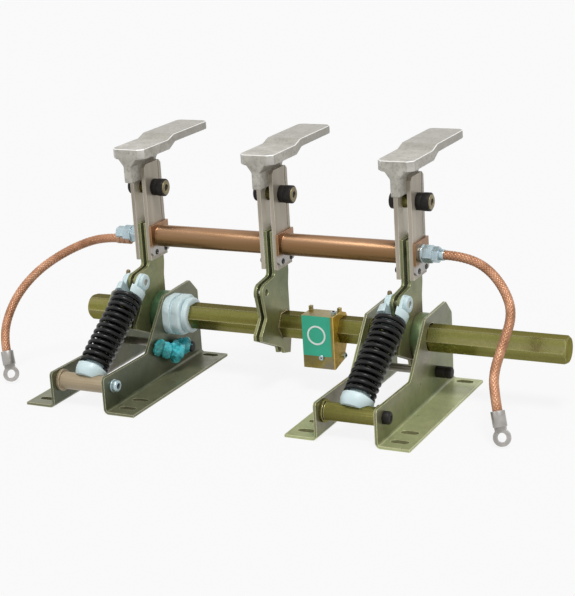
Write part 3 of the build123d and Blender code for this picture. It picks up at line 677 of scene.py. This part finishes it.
# %% Nuts and ferrules at the ends of the tie rod
rod_bore = 12.0
turn_between_nuts = math.radians(12)
terminal_stacks = {
    "right": (247.2, 1, [("washer", 26, 2.5), ("nut", 22, 14.3), ("nut", 20, 9), ("ferrule", 16, 7)]),
    "left": (
        -203.2,
        -1,
        [("washer", 27, 2.8), ("nut", 22, 13), ("washer", 26, 2.2), ("nut", 22, 11.8), ("nut", 18, 13)],
    ),
}
rod_end = 11.6
crimped_ferrule = [
    (diameter, low, high, 2, 0.3, 0.3)
    for low, high, diameter in ((0, 7, 15), (7, 9, 13.8), (9, 15, 15), (15, 17, 13.8), (17, 23, 15))
]
for side, (start, way, rows) in terminal_stacks.items():
    bars = []
    reach = 0.0
    for index, (kind, size, length) in enumerate(rows):
        if kind == "nut":
            bars.append(("nut", size, length, rod_bore, reach, turn_between_nuts * index))
        else:
            bars.append((size, reach, reach + length, 0, 0.4, 0.6))
        reach += length
    groups = [(along_x(start, shaft_y, tube_z, way), bars)]
    if side == "left":
        bars.append((rod_end, reach - 13, reach - 1.2, 1))
        groups.append((along_x(-224.2, shaft_y, tube_z - 9, way), crimped_ferrule))
    paints = [nut_zinc, thread_black, crimp_copper]
    turned_set(f"terminal_stack_{side}", paints, "rotor", groups, f"terminal_nut_{side}")
    print("terminal", side, round(reach, 1), "mm long")

# %% [markdown]
# A clamp bolt holds each pair of blades near the top. Seen from the left it is a black cap, the
# blade, a zinc spacer, the other blade, and a black sleeve with a bronze screw in its end.

# %% Clamp bolts
clamp_z = 286.0
clamp_rows = [
    (24, -26.2, -blade_outside, 0, 2.2, 0.5),
    (10, -20, 32.2, 1),
    (19.6, -blade_inside, blade_inside, 1, 0.4, 0.4),
    (25, blade_outside, 21.6, 0, 0.5, 0.4),
    (24, 21.4, 22.6, 0, 0.1, 0.1),
    (26, 22.4, 32.8, 0, 0.5, 1.2),
    (21, 32.0, 34.2, 2, 0.2, 0.7, (10.5, 1.8, 3)),
]
paints = [rubber, shaft_zinc, end_bronze, thread_black]
for side, x in pole_x.items():
    groups = [(along_x(x, shaft_y, clamp_z), clamp_rows)]
    turned_set(f"clamp_set_{side}", paints, "rotor", groups, f"clamp_bolt_{side}")
print("clamp bolts", len(pole_x))

# %% [markdown]
# Two countersunk screws hold each flange to its blade, low down, beside the crank. Their hexagon
# sockets are black inside. The outer face of the left pole has no flange, so its screws sit on
# the blade itself. All of them are one piece, made by a loop over the faces and both places.

# %% Flange screws
screw_z = 190
screw_y = (41.0, 67.0)
flange_thickness = 4
screw_row = (8.4, -1.5, 0.7, 0, 0.1, 0.5, (5.6, 1.8, 1))
groups = []
for side, x in pole_x.items():
    for way in (-1, 1):
        flange = 0 if (side, way) == ("left", -1) else flange_thickness
        face_x = x + way * blade_outside + way * flange
        groups += [(along_x(face_x, y, screw_z, way), [screw_row]) for y in screw_y]
turned_set("flange_screws", [thread_black, rubber], "rotor", groups)
print("flange screws", len(groups))

# %% [markdown]
# Each fork has a thick round boss outside both prongs, where the pin passes through, and a stub
# on top of the left one. They are turned, and swing with the fork.

# %% Fork bosses
prong_outside = 12.3
paints = [nylon, pin_steel, weld_steel]
boss_row = (24, -1.0, 5.0, 0, 0.1, 2.0, (10.4, 1.2, 1))
stub_row = (6.5, -3, 6.5, 2, 0.1, 2.6)
for side in pair_x:
    x = pole_x[side]
    groups = [
        (along_x(x + way * prong_outside, crank_pin_y, crank_pin_z, way), [boss_row]) for way in (-1, 1)
    ]
    groups.append((axis_frame(at(x - 13.0, crank_pin_y + 1, crank_pin_z + 11), (0, 0.1, 1)), [stub_row]))
    turned_set(f"fork_boss_{side}", paints, f"fork_{side}", groups, crease=32)
print("fork bosses", 2 * len(pair_x))

# %% [markdown]
# The pivot pins carry the springs' lower seats. A small domed nut closes each left end. On the
# left pair the other end is a bright nut round a dark stud, and on the right pair a black cap.

# %% Pivot pins
pin_paints = [pin_steel, nut_zinc, rubber]
pin_ends = {
    "left": [
        (19, web_outside, web_outside + 1.6, 1, 0.2, 0.3),
        (17.6, web_outside + 1.4, web_outside + 9, 1, 0.2, 2.4, (9.5, 3.2, 2)),
    ],
    "right": [(18, web_outside, web_outside + 10, 2, 0.4, 2.8, (7, 0.8, 2))],
}
for side, x in pair_x.items():
    rows = [
        (12, -web_outside, web_outside),
        (13.5, -web_outside - 1.4, -web_outside, 1, 0.3, 0.1),
        (12.6, -web_outside - 7, -web_outside - 1.2, 1, 3.2, 0.2),
    ]
    groups = [(along_x(x, pivot_y, pivot_z), rows + pin_ends[side])]
    turned_set(f"pivot_set_{side}", pin_paints, "frame", groups, f"pivot_pin_{side}")
print("pivot pins", len(pair_x))

# %% [markdown]
# A stop rod crosses each pair behind the spring. A clip ring holds its left end, and a rubber
# buffer with a rounded nose sits on its right end.

# %% Stop rods
stop_y = 70.0
stop_z = 35.0
stop_rows = [
    (12, -web_outside - 3, web_outside + 20, 0, 0.8, 0.4),
    (16, -web_outside - 1.8, -web_outside - 0.2, 1, 0.3, 0.3),
    (17, web_outside, web_outside + 14, 2, 0.4, 0.8),
    (15.6, web_outside + 13.6, web_outside + 15.4, 2, 0.1, 0.1),
    (17, web_outside + 15, web_outside + 24, 2, 0.8, 3.0),
]
for side, x in pair_x.items():
    groups = [(along_x(x, stop_y, stop_z), stop_rows)]
    turned_set(f"stop_set_{side}", pin_paints, "frame", groups, f"stop_rod_{side}")
print("stop rods", len(pair_x))

# %% [markdown]
# A wad of turquoise plastic film is knotted round the left stop rod, as a tag left by the fitter.
# Four balls are pushed into flat, creased lumps: each vertex moves by a cell noise, whose value
# is the same over a whole facet, and then the lumps overlap into one bundle.

# %% The turquoise tag
facet_grain = 0.2
facet_shift = 2.2
crease_grain = 0.11
crease_depth = 0.2
film = Finish("turquoise_film", (0.05, 0.5, 0.56), 0.0, 0.34)
film_tone = film.clouds(
    70,
    (0.34, (0.012, 0.23, 0.25)),
    (0.48, (0.06, 0.56, 0.64)),
    (0.64, (0.2, 0.8, 0.9)),
)
shaded = film.span(film.along["Y"], 0.8, 0.0, 0.004, 0.026)
film_tone = film.blend(shaded, film_tone, (0.018, 0.2, 0.18))
turquoise_film = film.dress(film_tone, (160, 0.25, 0.5), (340, 0.8, 0.3))
tag_lumps = [
    ((-159.5, 3.0, 52.0), (4.0, 15.0, 12.0)),
    ((-157.0, 20.0, 43.0), (6.5, 14.0, 12.0)),
    ((-152.5, 39.0, 36.0), (11.0, 16.0, 16.0)),
    ((-151.5, 62.0, 38.0), (11.5, 15.0, 12.5)),
]
tag_shape = bmesh.new()
for centre, radii in tag_lumps:
    ball = bmesh.ops.create_icosphere(tag_shape, subdivisions=4, radius=1.0)
    for vert in ball["verts"]:
        place = Vector(a * b for a, b in zip(vert.co, radii))
        cell = noise.cell_vector((place + Vector(centre)) * facet_grain) - Vector((0.5, 0.5, 0.5))
        crease = noise.noise((place + Vector(centre)) * crease_grain)
        place *= 1.0 + crease_depth * crease
        vert.co = (place + Vector(centre) + cell * facet_shift) * MM
tag = shaped_piece("turquoise_tag", tag_shape, [turquoise_film], "frame", None, 28)
print("tag faces", len(tag.data.polygons))

# %% [markdown]
# A nylon collar on the shaft runs against the outer face of the bearing block, and keeps the
# shaft from shifting. It is one turned ring, so that it turns without touching more of the block.

# %% The thrust collar
collar_bore = 17.2
collar_length = 9.5
collar_outline = [(collar_bore, 0), (25.2, 0), (26.4, 1.2), (26.4, 7.6), (25.6, 8.8), (23.8, collar_length)]
collar_outline += [(collar_bore, collar_length), (collar_bore, 0)]
collar_shape = bmesh.new()
lathe(collar_shape, collar_outline, 72)
collar_place = along_x(-134.7, shaft_y, shaft_z)
collar = shaped_piece("thrust_collar", collar_shape, [nylon], "rotor", collar_place, 40)
print("collar", collar_length, "mm long")

# %% [markdown]
# A coil spring follows a rule, so Geometry Nodes make it. A straight curve is bent into a helix
# point by point: each point's share of the length gives its turn, and the rise per turn is small
# in the closed end turns and wide between them. A circle swept along it gives the wire. A second,
# thinner spring of the other hand is nested inside, as is usual where one wire can't hold enough.

# %% A helper for geometry trees
class Tree(Wiring):
    """A geometry node tree with named inputs for its sizes and its material."""

    def __init__(self, name, *sizes):
        super().__init__(bpy.data.node_groups.new(name, "GeometryNodeTree"))
        face = self.tree.interface
        labels = {"Geometry": "Geometry", **dict.fromkeys(sizes, "Float"), "Material": "Material"}
        for label, kind in labels.items():
            face.new_socket(label, in_out="INPUT", socket_type=f"NodeSocket{kind}")
        face.new_socket("Geometry", in_out="OUTPUT", socket_type="NodeSocketGeometry")
        self.inputs = self.add("NodeGroupInput").outputs
        self.outputs = self.add("NodeGroupOutput").inputs
        self.sizes = {label: Value(self, self.inputs[label]) for label in sizes}

    def vector(self, x, y, z):
        return self.value(0, "ShaderNodeCombineXYZ", {0: x, 1: y, 2: z})

    def vector_maths(self, operation, inputs):
        return self.value(0, "ShaderNodeVectorMath", inputs, operation=operation)

    def circle(self, steps, radius):
        return self.value(0, "GeometryNodeCurvePrimitiveCircle", {"Resolution": steps, "Radius": radius})

    def sweep(self, line, section):
        """The closed skin that a section makes along a line."""
        inputs = {"Curve": line, "Profile Curve": section, "Fill Caps": True}
        return self.value(0, "GeometryNodeCurveToMesh", inputs)

    def finish(self, geometry):
        """Realizes the geometry, sets its material and ends the tree."""
        real = self.value(0, "GeometryNodeRealizeInstances", {0: geometry})
        inputs = {"Geometry": real, "Material": self.inputs["Material"]}
        self.feed(self.outputs[0], self.value(0, "GeometryNodeSetMaterial", inputs))
        return self.tree


def plain_mesh(holder):
    """The mesh of an object as Blender evaluates it. The object itself is taken away."""
    depsgraph = bpy.context.evaluated_depsgraph_get()
    mesh = bpy.data.meshes.new_from_object(holder.evaluated_get(depsgraph))
    bpy.data.objects.remove(holder)
    return mesh


def grown(name, base, tree, values, place=None):
    """The mesh that a node tree makes on a base object, as plain data."""
    holder = in_scene(name, base)
    modifier = holder.modifiers.new("made", "NODES")
    modifier.node_group = tree
    for item in tree.interface.items_tree:
        if item.in_out == "INPUT" and item.name in values:
            modifier[item.identifier] = values[item.name]
    mesh = plain_mesh(holder)
    if place:
        mesh.transform(place)
    mesh.name = name
    return mesh


# %% The coil spring's node tree
spring = Tree("wound_spring", "Turns", "Closed Turns", "Height", "Mean Radius", "Wire", "Hand", "Sway")
turns, closed, height, radius, wire, hand, sway = spring.sizes.values()
straight = spring.value(0, "GeometryNodeCurvePrimitiveLine")
points = spring.value(0, "GeometryNodeResampleCurve", {"Curve": straight, "Count": 500}, mode="COUNT")
turn_now = spring.value("Factor", "GeometryNodeSplineParameter") * turns
both_closed = closed * 2.0
open_turns = turns - both_closed
pitch = (height - wire - both_closed * wire) / open_turns
middle_turn = spring.larger(turn_now - closed, 0.0)
rise = spring.maths("MINIMUM", turn_now, closed) * wire
rise += spring.maths("MINIMUM", middle_turn, open_turns) * pitch
rise += spring.larger(turn_now - (closed + open_turns), 0.0) * wire
rise += wire * 0.5
angle = turn_now * hand * (2 * math.pi)
up = rise / height
s_shape = (up * 2.0 - 1.0) * up * (up - 1.0)
round_x = spring.maths("COSINE", angle) * radius + s_shape * sway
round_y = spring.maths("SINE", angle) * radius
coiled = {"Geometry": points, "Position": spring.vector(round_x, round_y, rise)}
helix = spring.value(0, "GeometryNodeSetPosition", coiled)
spring_tree = spring.finish(spring.sweep(helix, spring.circle(12, wire * 0.5)))
print("spring tree nodes", len(spring_tree.nodes))

# %% Wind the two springs on their seats
spring_lean = 1.5
lower_seat_length = 23.0
upper_seat_length = 24.5
lower_spigot = 8.0
upper_spigot = 13.5
inner_play = 0.6
closed_turns = 0.8
sway_share = 0.72


def wind(name, side, axis, start, height, wire, radius, turns, hand):
    """A spring from a place on the toggle's axis, which rides on its lower seat.

    Its axis is a very flat S, between the straight line at rest and the bend that it takes at open.
    """
    foot = at(pair_x[side], pivot_y, pivot_z) + axis * start * MM
    values = {
        "Turns": turns,
        "Closed Turns": closed_turns,
        "Height": height * MM,
        "Mean Radius": radius * MM,
        "Wire": wire * MM,
        "Hand": hand,
        "Sway": -sway_share * axis.x * height * MM,
        "Material": spring_black,
    }
    name = f"{name}_{side}"
    mesh = grown(name, bpy.data.meshes.new("empty"), spring_tree, values, axis_frame(foot, axis, (1, 0, 0)))
    coil = new_piece(name, mesh, [spring_black], f"seat_{side}")
    in_plane = Vector((0, axis.y, axis.z))
    in_plane.normalize()
    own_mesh(coil)
    return coil


for side, x in pair_x.items():
    toggle = at(pole_x[side] - spring_lean, crank_pin_y, crank_pin_z) - at(x, pivot_y, pivot_z)
    axis = toggle.normalized()
    coil_height = toggle.length / MM - lower_seat_length - upper_seat_length
    outer = wind("wound_spring", side, axis, lower_seat_length, coil_height, 6.5, 19.75, 13.2, 1.0)
    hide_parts(f"coil_spring_{side}")
    inner_height = coil_height - lower_spigot - upper_spigot - inner_play
    wind("inner_spring", side, axis, lower_seat_length + lower_spigot, inner_height, 5.4, 12.4, 14.0, -1.0)

# %% [markdown]
# An earthing braid is a tube of flat copper carriers that spiral both ways and pass over and
# under each other. The route is one smooth NURBS line through the points that the CAD braid
# uses. Geometry Nodes then copy it once for each carrier and wrap the copies round the route.

# %% The routes of the braids
braid_points = {
    "right": [
        (280, 54, 212), (303, 54, 212), (340, 46, 204), (373, 26, 183), (395, 1, 154),
        (391, -31, 120), (386, -57, 87), (394.3, -74.7, 62.1), (399, -80, 45.6),
    ],
    "left": [
        (-247.2, 54, 203), (-262, 54, 203), (-296, 52, 197), (-338, 41, 179), (-377, 22, 153),
        (-401, -4, 121), (-407, -31, 88), (-396.2, -57.6, 63.9), (-390.5, -62.5, 46.5),
    ],
}


def curve_through(name, points, kind="NURBS"):
    """An open NURBS line, its order set only after its points are there, or a closed POLY ring."""
    curve = bpy.data.curves.new(name, "CURVE")
    curve.dimensions = "3D"
    curve.resolution_u = 24
    spline = curve.splines.new(kind)
    spline.points.add(len(points) - 1)
    for point, place in zip(spline.points, points):
        point.co = (*at(*place), 1)
    spline.order_u = 3
    spline.use_endpoint_u = True
    spline.use_cyclic_u = kind == "POLY"
    return curve


def route_line(curve):
    """The points of the smooth line, in order, as Blender evaluates it."""
    mesh = plain_mesh(in_scene("route", curve))
    line = [tuple(v.co) for v in mesh.vertices]
    bpy.data.meshes.remove(mesh)
    return line


# %% The braid's node tree
carriers = 8
braid = Tree("woven_braid", "Radius", "Lay", "Width", "Thickness", "Wave")
radius, lay, width, thickness, wave = braid.sizes.values()
route = {"Curve": braid.inputs["Geometry"], "Count": 300}
middle_line = braid.value(0, "GeometryNodeResampleCurve", route, mode="COUNT")
twofold = {"Geometry": middle_line, "Amount": 2 * carriers}
copies = braid.add("GeometryNodeDuplicateElements", twofold, domain="SPLINE").outputs
number = Value(braid, copies["Duplicate Index"])
direction = number % 2.0 * 2.0 - 1.0
start_angle = braid.maths("FLOOR", number / 2.0) * (2 * math.pi / carriers)
winding = braid.value("Length", "GeometryNodeSplineParameter") / lay * (2 * math.pi)
angle = start_angle + direction * winding
over_and_under = braid.maths("COSINE", winding * float(carriers)) * direction
reach = radius + over_and_under * wave
tangent = braid.value(0, "GeometryNodeInputTangent")
normal = braid.value(0, "GeometryNodeInputNormal")
sideways = braid.vector_maths("CROSS_PRODUCT", {0: tangent, 1: normal})
outward = braid.vector_maths("ADD", {
    0: braid.vector_maths("SCALE", {0: normal, "Scale": braid.maths("COSINE", angle)}),
    1: braid.vector_maths("SCALE", {0: sideways, "Scale": braid.maths("SINE", angle)}),
})
# The direction is captured here, because moving the points would turn the curve's own normals
capture = braid.add("GeometryNodeCaptureAttribute", domain="POINT")
capture.capture_items.new("VECTOR", "outward")
braid.feed(capture.inputs["Geometry"], copies["Geometry"])
braid.feed(capture.inputs[1], outward)
kept_copies, kept_outward = capture.outputs[:2]
offset = braid.vector_maths("SCALE", {0: kept_outward, "Scale": reach})
wrapped = braid.value(0, "GeometryNodeSetPosition", {"Geometry": kept_copies, "Offset": offset})
outward_up = {"Curve": wrapped, "Normal": kept_outward}
carrier_line = braid.value(0, "GeometryNodeSetCurveNormal", outward_up, mode="FREE")
flattened = {"Geometry": braid.circle(8, 1.0), "Scale": braid.vector(thickness * 0.5, width * 0.5, 1.0)}
carrier_section = braid.value(0, "GeometryNodeTransform", flattened)
together = braid.add("GeometryNodeJoinGeometry")
for line, section in ((middle_line, braid.circle(20, radius - 0.0004)), (carrier_line, carrier_section)):
    braid.feed(together.inputs[0], braid.sweep(line, section))
braid_tree = braid.finish(together.outputs[0])
print("braid tree nodes", len(braid_tree.nodes))

# %% Weave both braids
braid_sizes = {"Radius": 5.8, "Lay": 44.0, "Width": 3.8, "Thickness": 1.1, "Wave": 0.42}
braid_values = {label: value * MM for label, value in braid_sizes.items()}
for side, points in braid_points.items():
    curve = curve_through(f"braid_route_{side}", points)
    line = route_line(curve)
    reach = sum((Vector(b) - Vector(a)).length for a, b in zip(line, line[1:]))
    mesh = grown(f"woven_braid_{side}", curve, braid_tree, {**braid_values, "Material": braid_copper})
    woven = new_piece(f"woven_braid_{side}", mesh, [braid_copper])
    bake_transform(woven)
    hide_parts(f"braid_{side}")
    print("braid", side, "line", round(reach / MM, 1), "mm, faces", len(mesh.polygons))

# %% [markdown]
# Each crank is welded to the hexagonal bar. A weld is a row of overlapping ripples, so Geometry
# Nodes set small flattened balls along a closed hexagon, each sized a little apart from the next
# by a fixed seed.

# %% The weld's node tree
weld = Tree("weld_ripples", "Spacing", "Size")
seam = {"Curve": weld.inputs["Geometry"], "Length": weld.inputs["Spacing"]}
seam_points = weld.value(0, "GeometryNodeResampleCurve", seam, mode="LENGTH")
ball = weld.value("Mesh", "GeometryNodeMeshIcoSphere", {"Subdivisions": 2, "Radius": 1.0})
chance = weld.value(1, "FunctionNodeRandomValue", {2: 0.82, 3: 1.15, "Seed": 4}, data_type="FLOAT")
across = chance * weld.sizes["Size"]
ripples = {"Points": seam_points, "Instance": ball, "Scale": weld.vector(across * 0.8, across, across)}
weld_tree = weld.finish(weld.value(0, "GeometryNodeInstanceOnPoints", ripples))

# %% Weld the cranks to the shaft
crank_half = 7.2
weld_corner = shaft_flats / math.sqrt(3) + 0.5
weld_values = {"Spacing": 2.6 * MM, "Size": 1.9 * MM, "Material": weld_steel}
weld_places = {
    "left": pole_x["left"] - crank_half,
    "middle_left": pole_x["middle"] - crank_half,
    "middle_right": pole_x["middle"] + crank_half,
    "right": pole_x["right"] - crank_half,
}
for side, x in weld_places.items():
    corners = [
        (x, shaft_y + weld_corner * math.cos(turn), shaft_z + weld_corner * math.sin(turn))
        for turn in (math.radians(60 * i) for i in range(6))
    ]
    ring = curve_through(f"weld_line_{side}", corners, "POLY")
    mesh = grown(f"weld_{side}", ring, weld_tree, weld_values)
    bead = new_piece(f"weld_{side}", mesh, [weld_steel], "rotor")
print("welds", len(weld_places))

# %% [markdown]
# The label is a thin plate glued to the indicator. A ring on it shows the switch's state. Both
# are real sheets with clean edges, not painted marks, so that they also show from the side.

# %% The label and its ring
label_left = 70.8
label_right = 115.6
label_low = 58.0
label_high = 117.5
label_corner = 2.0
label_sheet = 0.4
indicator_front_y = 22.0
ring_x = 93.0
ring_z = 89.0
ring_radius = 14.5
ring_bore = 11.9
ring_sheet = 0.25


def rounded_plate(shape, width, height, corner, thickness, steps=6):
    """Adds a plate with round corners, centred, its thickness along Z."""
    outline = []
    for quarter, (x_way, y_way) in enumerate(((1, 1), (-1, 1), (-1, -1), (1, -1))):
        for i in range(steps + 1):
            turn = math.radians(90 * quarter + 90 * i / steps)
            x = x_way * (width / 2 - corner) + corner * math.cos(turn)
            y = y_way * (height / 2 - corner) + corner * math.sin(turn)
            outline.append(shape.verts.new((x * MM, y * MM, 0)))
    raised = bmesh.ops.extrude_face_region(shape, geom=[shape.faces.new(outline)])
    moved = [v for v in raised["geom"] if isinstance(v, bmesh.types.BMVert)]
    bmesh.ops.translate(shape, verts=moved, vec=(0, 0, thickness * MM))


forwards = (0, -1, 0)
label_middle = at((label_left + label_right) / 2, indicator_front_y, (label_low + label_high) / 2)
label_shape = bmesh.new()
rounded_plate(label_shape, label_high - label_low, label_right - label_left, label_corner, label_sheet)
label_place = axis_frame(label_middle, forwards)
shaped_piece("state_label", label_shape, [label_green], "rotor", label_place, smooth=False)

outline = [(ring_bore, 0), (ring_radius, 0), (ring_radius, ring_sheet), (ring_bore, ring_sheet)]
ring_shape = bmesh.new()
lathe(ring_shape, outline + outline[:1], 64)
ring_place = axis_frame(at(ring_x, indicator_front_y - label_sheet, ring_z), forwards)
shaped_piece("state_ring", ring_shape, [label_white], "rotor", ring_place, smooth=False)
print("label", label_right - label_left, "x", label_high - label_low, "mm")

# %% [markdown]
# One pan-head screw with a dark socket holds the label, and the bent cover is closed by two bolts
# whose ends stand out of their nuts. They are sets of the same rows as the larger fasteners.

# %% Screws of the indicator
pan_head = [(8.0, 0, 2.6, 0, 0.2, 1.56, (2.72, 0.91, 1))]
nut_and_bolt = [("nut", 7.0, 3.6, 3.15), (3.5, 0, 5.1, 1)]
indicator_screws = {
    "label_screw": (at(99.5, indicator_front_y, 56.0), forwards, pan_head),
    "roof_bolt": (at(114.5, 37.0, 118.0), (0, 0, 1), nut_and_bolt),
    "cheek_nut": (at(120.5, 52.0, 52.0), (1, 0, 0), nut_and_bolt),
}
for name, (origin, way, rows) in indicator_screws.items():
    groups = [(axis_frame(origin, way), rows)]
    turned_set(name, [nut_zinc, thread_black], "rotor", groups)
print("indicator screws", len(indicator_screws))

# %% [markdown]
# A plain studio: a pale floor, a white world and a broad soft sun, so that a colour comes out
# much as it is written and every other view is lit alike. What the camera sees, itself or in
# metal and glass, is brighter than what lights the object. Where a foot stands, its own shadow is
# painted on the floor, so that the floor shows dark through the slots.

# %% The floor
floor_size = 30
floor_colour = (0.6, 0.6, 0.6)
foot_shadow = (0.1, 0.08, 0.05)
foot_from_pair = 68.5
foot_half_width = 20.5
foot_half_length = 139
foot_rearward = -5
floor_glow_share = 0.88


def seen_directly(wiring):
    """1 for what the camera sees, itself or in metal and glass, and 0 for what lights the object."""
    path = wiring.add("ShaderNodeLightPath").outputs
    seen = wiring.larger(path["Is Camera Ray"], path["Is Glossy Ray"])
    return wiring.larger(seen, path["Is Transmission Ray"])


def emptied(owner):
    """The wiring of a material or world, with nothing in it yet."""
    owner.use_nodes = True
    owner.node_tree.nodes.clear()
    return Wiring(owner.node_tree)


floor_shape = bmesh.new()
bmesh.ops.create_grid(floor_shape, x_segments=1, y_segments=1, size=floor_size)
floor_mesh = bpy.data.meshes.new("studio_floor")
floor_shape.to_mesh(floor_mesh)
floor_shape.free()
floor = in_scene("studio_floor", floor_mesh)
floor.location.z = -0.2 * MM
floor_material = bpy.data.materials.new("studio_floor")
ground = emptied(floor_material)
place = ground.parts(ground.value("Object", "ShaderNodeTexCoord"))
from_foot = abs(abs(abs(place["X"]) - phase_pitch * MM) - foot_from_pair * MM)
from_middle = abs(place["Y"] - foot_rearward * MM)
open_floor = ground.larger(from_foot > foot_half_width * MM, from_middle > foot_half_length * MM)
glow_share = seen_directly(ground) * floor_glow_share * open_floor
tones = {"Factor": open_floor, 6: foot_shadow, 7: floor_colour}
tone = ground.value(2, "ShaderNodeMix", tones, data_type="RGBA")
diffuse = ground.value(0, "ShaderNodeBsdfDiffuse", {"Color": tone})
glow = ground.value(0, "ShaderNodeEmission", {"Color": (1, 1, 1)})
mixed = ground.value(0, "ShaderNodeMixShader", {0: glow_share, 1: diffuse, 2: glow})
ground.add("ShaderNodeOutputMaterial", {0: mixed})
floor_mesh.materials.append(floor_material)

# %% World and light
world = bpy.data.worlds.new("studio")
bpy.context.scene.world = world
sky = emptied(world)
light, seen = (
    sky.value(0, "ShaderNodeBackground", {"Color": (1, 1, 1), "Strength": strength})
    for strength in (0.40, 1.0)
)
mixed = sky.value(0, "ShaderNodeMixShader", {0: seen_directly(sky), 1: light, 2: seen})
sky.add("ShaderNodeOutputWorld", {0: mixed})

suns = {
    "key_sun": (2.0, 18, (-0.27, 0.38, -1.0)),
    "fill_sun": (0.25, 40, (0.9, 0.5, -0.5)),
}
for name, (strength, spread, direction) in suns.items():
    lamp = bpy.data.lights.new(name, "SUN")
    lamp.energy = strength
    lamp.angle = math.radians(spread)
    in_scene(name, lamp).rotation_euler = Vector(direction).to_track_quat("-Z", "Y").to_euler()
bpy.context.scene.view_settings.view_transform = "Standard"
print("lights ready")
